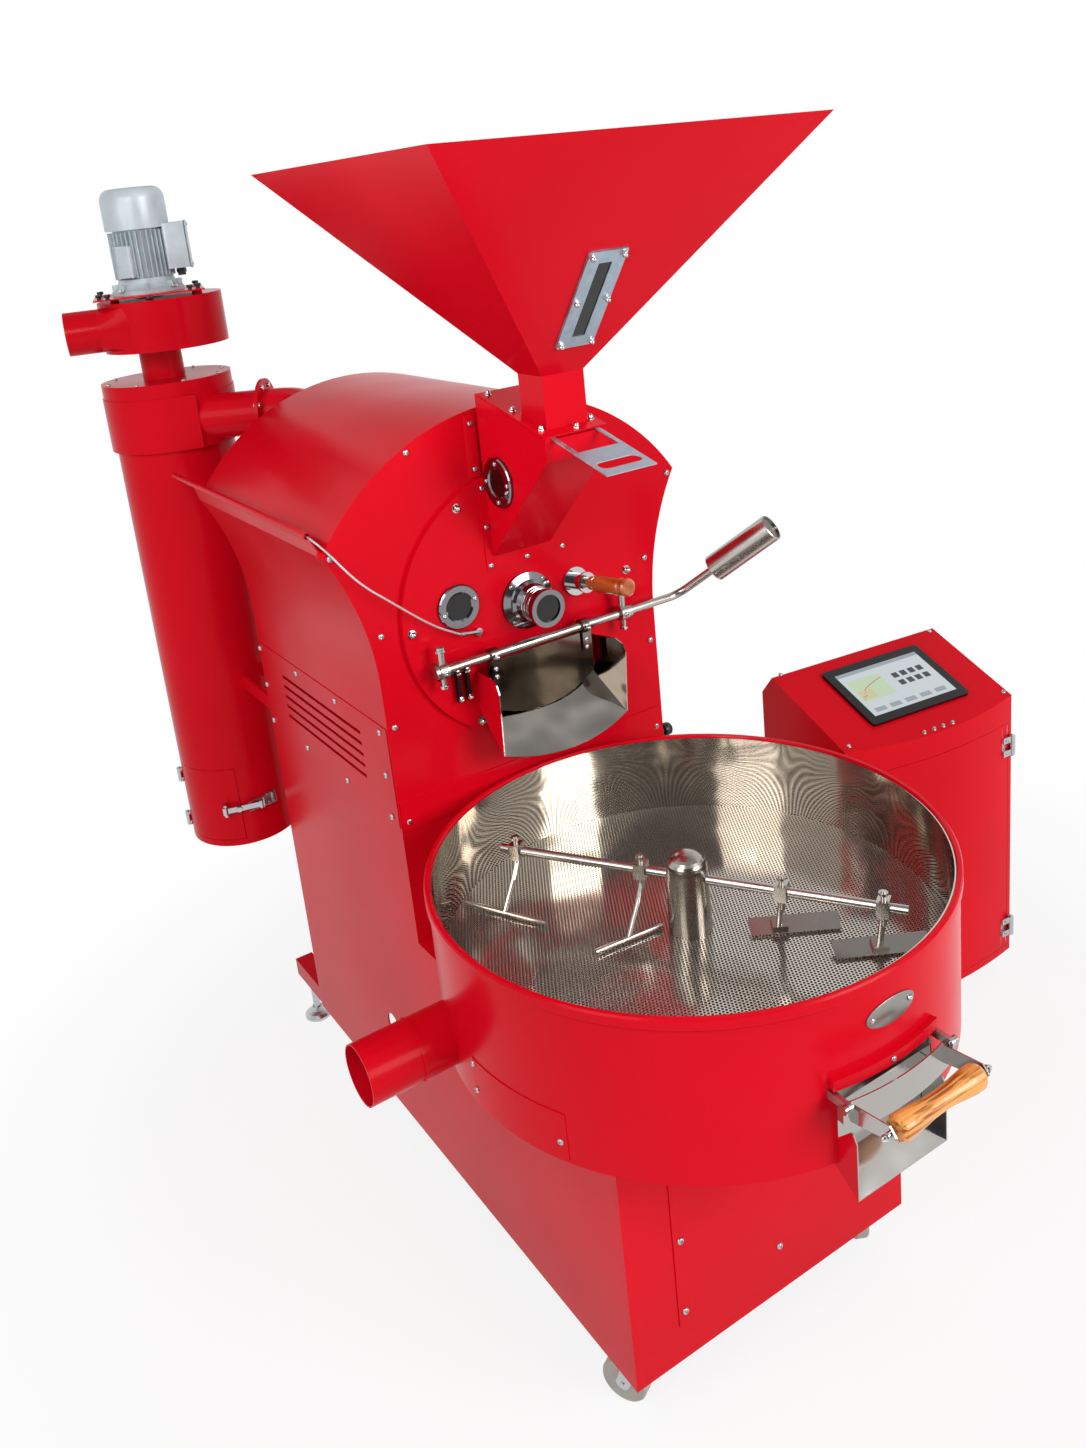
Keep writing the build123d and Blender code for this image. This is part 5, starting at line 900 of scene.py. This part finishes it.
@dataclass
class Loader:
    """Hopper with its window, neck, slide gate and the chute into the drum."""
    datum: Datum
    centre_x: float = 6.0
    incline: float = 15.5
    incline_foot: Pair = (-209.0, 1442.0)
    sheet_top: float = 5.6
    window_slope: float = 51.5
    window_z: float = 1647.0
    throat: Pair = (-188.0, 1535.0)
    hopper_lean: float = 332 / 264          # rise over run of the hopper's front
    flange_y: float = -12.0
    strip_x: float = -61.5
    strip_z: float = 1412.0
    strip_thick: float = 3.0
    strip_screws: Pair = (1450.0, 1374.0)
    window_proud: float = 4.0

    def dress(self) -> None:
        """Coats hopper, neck and chute red; gate and window frame stay galvanised."""
        dress(RED, "hopper", "hopper_neck", "load_chute")
        dress(GALVANISED, "window_frame", "slide_gate")

    def build(self) -> None:
        """Adds flange bolts, window bolts and the strip beside the chute."""
        d = self.datum
        bolts = Maker("chute_bolts")
        top = Matrix.Translation(d.at(self.centre_x, *self.incline_foot)) @ turned(self.incline, "X")
        for x, up in [(x, up) for x in (-46, 46) for up in (28, 109, 182)] + [(8, 12)]:
            bolts.add(dome_nut(4.6), top @ shift(x, up, self.sheet_top), CHROME)
        flange = [(x, z) for x in (-58, 86) for z in (1342, 1275, 1208)] + [(14, 1207)]
        bolts.scatter(button_screw(4.8), [d.at(x, self.flange_y, z) for x, z in flange], FRONT, ZINC)
        bolts.done("root")
        window = Maker("window_bolts")
        back = self.throat[0] - (self.window_z - self.throat[1]) / self.hopper_lean
        middle = Matrix.Translation(d.at(self.centre_x, back, self.window_z))
        plane = middle @ turned(180 - self.window_slope, "X")
        for x in (-27, 27):
            for y in (-80, 0, 80):
                window.add(dome_nut(4.8), plane @ shift(x, y, self.window_proud), CHROME)
        window.done("root")
        strip = Maker("cover_strip")
        sheet = slab(rectangle(22, 104, 3), self.strip_thick, 0.6)
        strip.add(sheet, facing(d.at(self.strip_x, 0, self.strip_z), FRONT), RED)
        spots = [d.at(self.strip_x, -self.strip_thick, z) for z in self.strip_screws]
        strip.scatter(button_screw(4.8), spots, FRONT, ZINC)
        strip.done("root")


@dataclass
class CoolingTray:
    """Round tray with perforated floor, stirrer, suction pipe and badge."""
    datum: Datum
    centre_y: float = -410.0
    shell_r: float = 396.0
    hood_proud: float = 9.0
    lug_front: float = -797.0
    lug_top: float = 687.0
    lug_in: float = 90.5
    lug_out: float = 98.5
    badge_z: float = 762.0
    badge_azimuth: float = -89.0
    badge_size: Pair = (88.0, 38.0)
    badge_face: float = 2.2
    badge_points: int = 48
    cover_proud: float = 1.5
    cover_screws: Outline = ((179.6, 640), (180, 597), (204, 602))
    hood_screw: Pair = (-90.0, 696.0)

    def dress(self) -> None:
        """Coats the shell red and gives the inside its stainless finishes."""
        dress(RED, "tray_shell", "tray_rim", "suction_pipe")
        front = self.datum.at(0, self.lug_front, self.lug_top)
        dress_faces("tray_rim", ZINC, lambda c, n: c.y < front.y and c.z < front.z
                    and self.lug_in * MM < abs(c.x - self.datum.x) < self.lug_out * MM)
        dress(TRAY_WALL, "tray_liner")
        dress(PERFORATED, "tray_floor")
        dress(BRUSHED_HUB, "stirrer_hub")
        dress(POLISHED_BAR, "stirrer_arms")

    def on_shell(self, azimuth: float, proud: float, z: float) -> tuple[Vector, Vector]:
        """A point that stands proud of the shell, and its outward normal."""
        out = Vector((*polar(1.0, azimuth), 0))
        r = self.shell_r + proud
        return self.datum.at(r * out.x, self.centre_y + r * out.y, z), out

    def build(self) -> None:
        """Adds the bare badge, its rivets and the shell's screws."""
        badge = Maker("bare_badge")
        badge.add(self.badge_mesh(), Matrix.Identity(4), BRUSHED_BADGE)
        rivet = lathe([(0, 0), (4.2, 0), (3.8, 1.6), (2.4, 2.6), (0, 3)], 24)
        for side in (-1, 1):
            azimuth = self.badge_azimuth + side * math.degrees(self.badge_size[0] * 0.4 / self.shell_r)
            badge.add(rivet, facing(*self.on_shell(azimuth, self.badge_face, self.badge_z)), CHROME)
        badge.done("root")
        screws = Maker("tray_screws")
        for azimuth, z in self.cover_screws:
            screws.add(button_screw(4.6), facing(*self.on_shell(azimuth, self.cover_proud, z)), ZINC)
        azimuth, z = self.hood_screw
        screws.add(button_screw(4.2), facing(*self.on_shell(azimuth, self.hood_proud, z)), ZINC)
        screws.done("root")

    def badge_mesh(self) -> Mesh:
        """Bends an oval plate round the shell, from its back edge to the middle of its face."""
        wide, high = self.badge_size
        bm = bmesh.new()
        rings = []
        for proud, share in ((0.2, 1.0), (1.6, 1.0), (self.badge_face, 0.95), (self.badge_face, 0.0)):
            count = self.badge_points if share else 1
            ring = []
            for i in range(count):
                t = 2 * math.pi * i / count
                azimuth = self.badge_azimuth + math.degrees(share * wide / 2 * math.cos(t) / self.shell_r)
                point, _ = self.on_shell(azimuth, proud, self.badge_z + share * high / 2 * math.sin(t))
                ring.append(bm.verts.new(point))
            rings.append(ring)
        for low, top in zip(rings, rings[1:]):
            for i in range(self.badge_points):
                j = (i + 1) % self.badge_points
                corners = [low[i], low[j], top[j % len(top)], top[i % len(top)]]
                bm.faces.new(list(dict.fromkeys(corners)))
        bm.faces.new(rings[0][::-1])
        return shape_of(bm)


@dataclass
class BeanOutlet:
    """Chute and flap at the tray's front, with its wooden grip."""
    datum: Datum
    half: float = 84.0
    grip_half: float = 92.0
    grip_spot: Pair = (-885.0, 676.0)

    def dress(self) -> None:
        """Polished steel, but the cheeks' outer faces are red."""
        dress(OUTLET_SHEET, "outlet_chute", "outlet_door")
        edge = (self.half - 0.5) * MM
        dress_faces("outlet_chute", RED, lambda c, n: abs(c.x - self.datum.x) > edge and abs(n.x) > 0.9)
        dress(BEECH, "outlet_grip")

    def build(self) -> None:
        """Adds the grip's end screws."""
        ends = Maker("grip_screws")
        for side in (-1, 1):
            spot = self.datum.at(side * self.grip_half, *self.grip_spot)
            ends.add(dome_nut(4.6), facing(spot, (side, 0, 0)), CHROME)
        ends.done("outlet_door")


@dataclass
class Cyclone:
    """Chaff cyclone with its ash door, and the blower on top of it."""
    datum: Datum
    x: float = -295.0
    y: float = 871.0
    turn: float = -15.42
    barrel_r: float = 121.0
    hinge_top: float = 640.0
    latch_z: float = 555.0
    latch_proud: float = 13.0
    bolt_x: float = -12.0
    catch_x: float = 58.0
    catch_back: float = 13.5
    catch_thick: float = 2.4
    catch_faces: Point = (0.44, -0.9, 0.0)
    wire_x: float = 8.0
    wire_half_gap: float = 10.0
    wire_way: Point = (0.93, 0.36, 0.0)
    cap_x: float = 3.5
    cap_z: float = 1503.0
    cap_circle: float = 120.0
    plate_z: float = 1678.0
    foot_z: float = 1686.0
    duct_start: Point = (51.0, -82.5, 1419.5)
    duct_end: Point = (-100.0, 645.0, 1419.5)
    duct_joint: float = 148.0
    duct_circle: float = 57.0
    duct_flange: float = 3.5

    def dress(self) -> None:
        """Red housings, zinc latch and hinges, galvanised impeller."""
        dress(RED, "cyclone_barrel", "ash_door", "cyclone_scroll", "blower_volute")
        dress(ZINC, "ash_latch")
        middle = self.datum.at(self.x, self.y, self.hinge_top)
        edge = (self.barrel_r + 1.5) * MM
        for node in ("ash_door", "cyclone_barrel"):
            dress_faces(node, ZINC, lambda c, n: (c.xy - middle.xy).length > edge and c.z < middle.z)
        dress(GALVANISED, "blower_impeller")

    def build(self) -> None:
        """Adds the motor, knobs, plate bolts, cap bolts, the duct's flange bolts and the ash door's latch."""
        head = Matrix.Translation(self.datum.at(self.x, self.y, 0)) @ turned(self.turn, "Z")
        Motor(head).build()
        knobs = Maker("motor_plate_knobs")
        knob = lathe([(0, 0), (4, 0), (4, 3), (6.5, 4), (7, 6), (6, 9), (0, 9.5)], 24)
        for x, y in ((-80, -92), (80, -92), (97, -60), (-97, -60), (97, 60), (-97, 60)):
            knobs.add(knob, head @ shift(x, y, self.plate_z), BLACK_NYLON_AND_SLOT_SHADE)
        for x, y in ((-52, -52), (52, -52), (52, 52), (-52, 52)):
            knobs.add(hex_bolt(7), head @ shift(x, y, self.foot_z), ZINC)
        knobs.done("root")
        cap = Maker("cyclone_cap_screws")
        for a in range(15, 360, 45):
            x, y = polar(self.cap_circle, a)
            cap.add(button_screw(4.4), head @ shift(self.cap_x + x, y, self.cap_z), ZINC)
        cap.done("root")
        flange = Maker("duct_flange_bolts")
        start, end = head @ (Vector(self.duct_start) * MM), self.datum.at(*self.duct_end)
        along = (end - start).normalized()
        ring = facing(start + along * self.duct_joint * MM, along)
        for a in range(22, 360, 45):
            x, y = polar(self.duct_circle, a)
            flange.add(hex_bolt(5.5), ring @ shift(x, y, self.duct_flange), ZINC)
            flange.add(hex_bolt(5.5), ring @ turned(180, "X") @ shift(x, -y, self.duct_flange), ZINC)
        flange.done("root")
        self.toggle(head)

    def toggle(self, head: Matrix) -> None:
        """Adds the latch's screw, its wire hook and the catch plate on the barrel."""
        level = head.to_3x3()
        front, z = -self.barrel_r, self.latch_z
        catch = Maker("ash_catch")
        spot = head @ (Vector((self.catch_x, front + self.catch_back, z)) * MM)
        plate, thick = facing(spot, level @ Vector(self.catch_faces)), self.catch_thick
        catch.add(slab(rectangle(26, 30, 3), thick, 0.5), plate, ZINC)
        catch.add(slab(rectangle(7, 22, 2), 9, 1), plate @ shift(6, 0, thick), ZINC)
        for y in (-9, 9):
            catch.add(button_screw(3.2), plate @ shift(-7, y, thick), ZINC)
        catch.done("root")
        hook = Maker("ash_hook")
        front -= self.latch_proud
        wire = lathe([(0, 0), (1.7, 0), (1.7, 56), (0, 56)], 12)
        for side in (-self.wire_half_gap, self.wire_half_gap):
            start = head @ (Vector((self.wire_x, front, z + side)) * MM)
            hook.add(wire, facing(start, level @ Vector(self.wire_way)), ZINC)
        hook.add(hex_bolt(6.5), head @ shift(self.bolt_x, front, z) @ turned(90, "X"), ZINC)
        hook.done("ash_latch")


@dataclass
class Motor:
    """Flange motor of the blower, in the head's own frame and millimetres."""
    head: Matrix
    base: float = 1678.0
    fin_low: float = 1709.0
    cowl_low: float = 1804.0
    cowl_high: float = 81.0
    shell_r: float = 50.0
    fin_r: float = 60.0
    cowl_r: float = 63.5
    fins: int = 36
    gussets: int = 8
    fan_slots: int = 12
    box: Point = (69.0, 0.0, 1720.0)
    box_size: Point = (46.0, 84.0, 91.0)
    lid_x: float = 92.0
    lid_high: float = 4.0
    small_box: Point = (59.0, 0.0, 1712.0)
    small_azimuth: float = -125.0

    def put(self, unit: Maker, shape: Mesh, spot: Point, azimuth: float = 0.0,
            finish: Finish = ENAMEL) -> None:
        """Adds a shape at a spot turned round the motor's axis."""
        unit.add(shape, self.head @ turned(azimuth, "Z") @ shift(*spot), finish)

    def build(self) -> None:
        """Makes end shield, stator, fins, cowl and boxes as one piece in place of the CAD motor."""
        unit = Maker("blower_motor_unit")
        stator = self.cowl_low - self.base
        shield = [(0, 0), (72, 0), (72, 8), (65, 9), (60, 13), (57, 22), (55, 30), (self.shell_r, 31),
                  (self.shell_r, stator), (0, stator)]
        self.put(unit, lathe(shield, 48), (0, 0, self.base))
        gusset = slab(rectangle(13, 3, 0.8), 14, 0.8)
        for i in range(self.gussets):
            self.put(unit, gusset, (63, 0, self.base + 7), 360 / self.gussets * i)
        fin = slab(rectangle(self.fin_r - self.shell_r + 2, 1.8, 0.4), self.cowl_low - self.fin_low - 3, 0.5)
        for i in range(self.fins):
            spot = ((self.fin_r + self.shell_r) / 2 - 1, 0, self.fin_low)
            self.put(unit, fin, spot, 360 / self.fins * (i + 0.5))
        self.put(unit, self.cowl(), (0, 0, self.cowl_low))
        # the cowl's fan slots are thin black sheets: painted shade where the openings would be
        slot = slab(rectangle(18, 3.2, 1.5), 0.3)
        for i in range(self.fan_slots):
            spot = (24, 0, self.cowl_low + self.cowl_high - 3)
            self.put(unit, slot, spot, 360 / self.fan_slots * i, BLACK_NYLON_AND_SLOT_SHADE)
        self.boxes(unit)
        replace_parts(unit.done("root"), "blower_motor")

    def cowl(self) -> Mesh:
        """Fan cowl with a round shoulder and a sunk top."""
        high, r = self.cowl_high, self.cowl_r
        shoulder = [(r - 20 + 20 * math.cos(math.radians(a)), high - 24 + 24 * math.sin(math.radians(a)))
                    for a in range(0, 91, 15)]
        top = [(38, high - 0.6), (36, high - 3), (0, high - 3), (0, 4)]
        return lathe([(self.shell_r, 0), (r, 0), (r, 2)] + shoulder + top, 48)

    def boxes(self, unit: Maker) -> None:
        """Adds the terminal box with its lid, screws and gland, and the small box at the left."""
        wide, deep, tall = self.box_size
        self.put(unit, slab(rectangle(wide, deep, 5), tall, 2), self.box)
        lid = self.head @ shift(self.lid_x, 0, self.box[2] + tall / 2) @ turned(90, "Y")
        unit.add(slab(rectangle(94, 90, 7), self.lid_high, 1.2), lid, ENAMEL)
        for x in (-39, 39):
            for y in (-37, 37):
                unit.add(button_screw(3.6), lid @ shift(x, y, self.lid_high), ZINC)
        gland = lathe([(0, 0), (8, 0), (8, 5), (10, 6), (10, 13), (6, 15), (0, 15)], 24, hexed=(3, 4))
        self.put(unit, gland, (72, -18, self.box[2] - 15), 0, BLACK_NYLON_AND_SLOT_SHADE)
        self.put(unit, slab(rectangle(18, 38, 4), 63, 2.5), self.small_box, self.small_azimuth)


@dataclass
class Cabinet:
    """Control cabinet with its touchscreen, door hinges and screws."""
    datum: Datum
    x: float = 612.75
    y: float = -144.05
    turn: float = -6.65
    desk_z: float = 675.0
    desk_angle: float = 19.94
    desk_screws: Outline = ((24, 233), (430, 226), (434, 13), (19, 11))
    screen: tuple[float, float, float, float] = (101.5, 36.0, 258.0, 174.0)
    screen_edge: float = 20.0
    glass_z: float = 7.0
    tile_step: float = 0.15     # each layer of the picture lies this far above the last
    tile_high: float = 0.14
    hinges: Pair = (122.0, 564.0)
    hinge_half: float = 26.0
    hinge_u: float = 411.0
    hinge_v: float = -2.5
    leaf_spot: Pair = (421.0, -11.0)
    ports: Sequence[float] = (188.0, 214.0, 238.0, 263.0)
    ports_v: float = -18.0

    def place(self) -> Matrix:
        """Placement of the cabinet's own frame."""
        return Matrix.Translation(self.datum.at(self.x, self.y, 0)) @ turned(self.turn, "Z")

    def desk(self) -> Matrix:
        """Placement of the sloping desk: local X along it, local Y up it."""
        return self.place() @ shift(0, 0, self.desk_z) @ turned(self.desk_angle, "X")

    def dress(self) -> None:
        """Red sheet, zinc hinges and a black screen."""
        dress(RED, "cabinet_body", "cabinet_door")
        dress(POLYCARBONATE, "touchscreen")
        back = self.place().inverted()
        for node in ("cabinet_body", "cabinet_door"):
            dress_faces(node, ZINC, lambda c, n: self.on_hinge(back @ c))

    def on_hinge(self, local: Vector) -> bool:
        """True for a point of the cabinet's own frame that lies on a hinge's leaf, knuckle or lug."""
        u, v, z = local / MM
        beside = v < self.hinge_v and u > self.hinge_u
        return beside and any(abs(z - height) < self.hinge_half for height in self.hinges)

    def build(self) -> None:
        """Adds the screen's picture, the desk's screws, the hinge screws and the ports."""
        place, desk = self.place(), self.desk()
        screws = Maker("cabinet_screws")
        for u, v in self.desk_screws:
            up = v / math.cos(math.radians(self.desk_angle))
            screws.add(button_screw(5), desk @ shift(u, up, 0), ZINC)
        plug = lathe([(0, 0), (4.6, 0), (4.6, 1.6), (3.4, 2.4), (3, 5), (0, 5.3)], 24)
        for u in self.ports:
            screws.add(plug, desk @ shift(u, self.ports_v, 0), ZINC)
        screws.done("root")
        leaves = Maker("cabinet_hinge_screws")
        for height in self.hinges:
            for z in (-15, 15):
                spot = place @ (Vector((*self.leaf_spot, height + z)) * MM)
                leaves.add(button_screw(3.4), facing(spot, place.to_3x3() @ Vector(FRONT)), ZINC)
        leaves.done("cabinet_door")
        self.picture(desk)

    def picture(self, desk: Matrix) -> None:
        """Lays the lit picture on the glass: plain fields, a curve, keys and no words."""
        u0, v0, wide, high = self.screen
        edge = self.screen_edge
        colours = {"field_pale": "#ccd4d8", "bar_grey": "#9ba4ac", "chart_green": "#c2d6b4",
                   "curve_red": "#b04a3e", "key_dark": "#3a4046", "field_sand": "#cfc79e"}
        lit = {kind: LitScreen(f"screen_{kind}", Slot.PLASTIC, code) for kind, code in colours.items()}
        picture = Maker("screen_picture")

        def tile(x: float, y: float, w: float, h: float, level: int, kind: str) -> None:
            """Adds one lit rectangle; x and y run from the picture's lower left corner."""
            at = shift(u0 + edge + x + w / 2, v0 + edge + y + h / 2, self.glass_z + self.tile_step * level)
            picture.add(slab(rectangle(w, h), self.tile_high), desk @ at, lit[kind])

        field_w, field_h = wide - 2 * edge, high - 2 * edge
        tile(0, 0, field_w, field_h, 0, "field_pale")
        tile(0, field_h - 10, field_w, 10, 1, "bar_grey")
        tile(8, 42, 86, 66, 1, "chart_green")
        tile(14, 48, 34, 26, 2, "field_sand")
        dots = 22
        for i in range(dots):
            t = i / (dots - 1)
            dip = 12 * math.exp(-((t - 0.12) / 0.08) ** 2)
            tile(12 + 76 * t, 50 + 44 * (t ** 0.45) - dip, 3.4, 1.6, 3, "curve_red")
        for row in range(2):
            for col in range(4):
                tile(118 + col * 22, 80 - row * 24, 15, 15, 1, "key_dark")
        for col in range(5):
            tile(12 + col * 40, 8, 28, 12, 1, "bar_grey")
        picture.done("root")


@dataclass
class Casters:
    """Swivel casters under the base and the cabinet."""
    names: Sequence[str] = ("base_left", "base_right", "cabinet_front_left", "cabinet_front_right",
                            "cabinet_rear_left", "cabinet_rear_right")

    def dress(self) -> None:
        """Zinc forks and pale grey tyres."""
        dress(ZINC, *(f"fork_{name}" for name in self.names))
        dress(TYRE, *(f"wheel_{name}" for name in self.names))


@dataclass
class Studio:
    """Pale floor, soft lights and the camera."""
    datum: Datum
    eye: Point = (-1017.6, -1749.0, 1814.8)
    aim: Point = (1.772, -0.592, 0.299)         # the camera's turn: an axis as long as its angle
    lens: float = 30.79
    lens_shift: Pair = (0.0097, -0.1209)
    shadow_reach: Pair = (1.0, 1.7)             # the floor's shadow fades out between these radii
    floor_half: float = 14.0
    floor_glow: float = 0.84
    daylight: float = 0.46
    ceiling_edge: Pair = (0.6, 0.95)
    ceiling_dark: float = 0.35
    flag_fade: float = 0.06
    flags: Sequence[tuple[Point, float, float]] = (
        ((-0.45, -0.88, 0.25), 0.8, 0.08), ((0.5, -0.33, 0.8), 0.965, 0.12), ((0.95, -0.3, 0.1), 0.93, 0.08),
        ((-0.97, 0.2, 0.15), 0.95, 0.08), ((0.25, 0.8, 0.55), 0.95, 0.08))

    def camera(self) -> None:
        """Sets the camera by its eye point and its turn from the world's axes."""
        data = bpy.data.cameras.new("camera")
        data.lens = self.lens
        data.shift_x, data.shift_y = self.lens_shift
        data.clip_end = 50
        eye = show(bpy.data.objects.new("camera", data))
        turn = Vector(self.aim)
        to_eye = Matrix.Rotation(turn.length, 3, turn.normalized())
        flip = Matrix(((1, 0, 0), (0, -1, 0), (0, 0, -1)))
        from_eye = (flip @ to_eye).transposed().to_4x4()
        eye.matrix_world = Matrix.Translation(self.datum.at(*self.eye)) @ from_eye
        bpy.context.scene.camera = eye

    def floor(self) -> None:
        """Lays the pale floor: matt where light falls on it, glowing white where it is looked at."""
        bm = bmesh.new()
        bmesh.ops.create_grid(bm, x_segments=1, y_segments=1, size=self.floor_half)
        mesh = shape_of(bm)
        paper = bpy.data.materials.new("floor_paper")
        tree = fresh_tree(paper)
        matt = add_node(tree, "ShaderNodeBsdfDiffuse", {"Color": (0.86, 0.86, 0.86, 1)}).outputs[0]
        glow = add_node(tree, "ShaderNodeEmission", {"Color": (1, 1, 1, 1), "Strength": 1.0}).outputs[0]
        ray = add_node(tree, "ShaderNodeLightPath").outputs
        seen = maths(tree, "MAXIMUM", ray["Is Camera Ray"], ray["Is Glossy Ray"])
        seen = maths(tree, "MAXIMUM", seen, ray["Is Transmission Ray"])
        away = vector_maths(tree, "LENGTH", own_place(tree)).outputs["Value"]
        share = maths(tree, "MULTIPLY", seen, remap(tree, away, self.shadow_reach, (self.floor_glow, 1.0)))
        mixed = add_node(tree, "ShaderNodeMixShader", links={0: share, 1: matt, 2: glow})
        add_node(tree, "ShaderNodeOutputMaterial", links={"Surface": mixed.outputs[0]})
        mesh.materials.append(paper)
        show(bpy.data.objects.new("floor", mesh))

    def lamp(self, name: str, spot: Point, look: Point, size: float, watts: float) -> None:
        """Hangs one square softbox; positions in metres."""
        data = bpy.data.lights.new(name, "AREA")
        data.shape = "RECTANGLE"
        data.size = size
        data.size_y = size
        data.energy = watts
        lamp = show(bpy.data.objects.new(name, data))
        lamp.location = spot
        lamp.rotation_euler = (Vector(look) - Vector(spot)).to_track_quat("-Z", "Y").to_euler()

    def world(self) -> None:
        """White horizon with a dark ceiling and dark flags, so that polished metal has contrast."""
        world = bpy.data.worlds.new("studio")
        bpy.context.scene.world = world
        tree = fresh_tree(world)
        place = add_node(tree, "ShaderNodeTexCoord").outputs["Generated"]
        up = add_node(tree, "ShaderNodeSeparateXYZ", links={0: place}).outputs["Z"]
        sky = remap(tree, up, self.ceiling_edge, (1.0, self.ceiling_dark))
        for towards, edge, low in self.flags:
            near = vector_maths(tree, "DOT_PRODUCT", place, Vector(towards).normalized()).outputs["Value"]
            flag = remap(tree, near, (edge, edge + self.flag_fade), (1.0, low))
            sky = maths(tree, "MULTIPLY", sky, flag)
        ray = add_node(tree, "ShaderNodeLightPath").outputs
        soft = remap(tree, ray["Is Glossy Ray"], (0.0, 1.0), (self.daylight, 0.0))
        lit = maths(tree, "ADD", soft, maths(tree, "MULTIPLY", sky, ray["Is Glossy Ray"]))
        seen = maths(tree, "MAXIMUM", ray["Is Camera Ray"], ray["Is Transmission Ray"])
        back = add_node(tree, "ShaderNodeBackground", {"Color": (1, 1, 1, 1)},
                        {"Strength": maths(tree, "MAXIMUM", lit, seen)})
        add_node(tree, "ShaderNodeOutputWorld", links={"Surface": back.outputs[0]})

    def build(self) -> None:
        """Sets up camera, floor, lamps and world."""
        self.camera()
        self.floor()
        self.world()
        self.lamp("key_softbox", (1.3, -4.2, 2.5), (0.0, 0.0, 0.9), 2.0, 125)
        self.lamp("fill_softbox", (-3.4, -1.4, 2.6), (0.0, 0.0, 1.1), 1.8, 36)
        self.lamp("blower_softbox", (-1.5, -0.9, 2.3), (-0.57, 0.82, 1.62), 0.5, 9)
        bpy.context.scene.view_settings.view_transform = "Standard"


def main() -> None:
    logging.basicConfig(level=logging.INFO, format="%(name)s: %(message)s")
    datum = Datum.from_frame()
    for kind in (Bodywork, DrumFace, Loader, CoolingTray, BeanOutlet, Cyclone, Cabinet):
        group = kind(datum)
        group.dress()
        group.build()
        log.info("%s finished", kind.__name__)
    Casters().dress()
    ProbeLead(datum).build()
    Studio(datum).build()


if __name__ == "__main__":
    main()
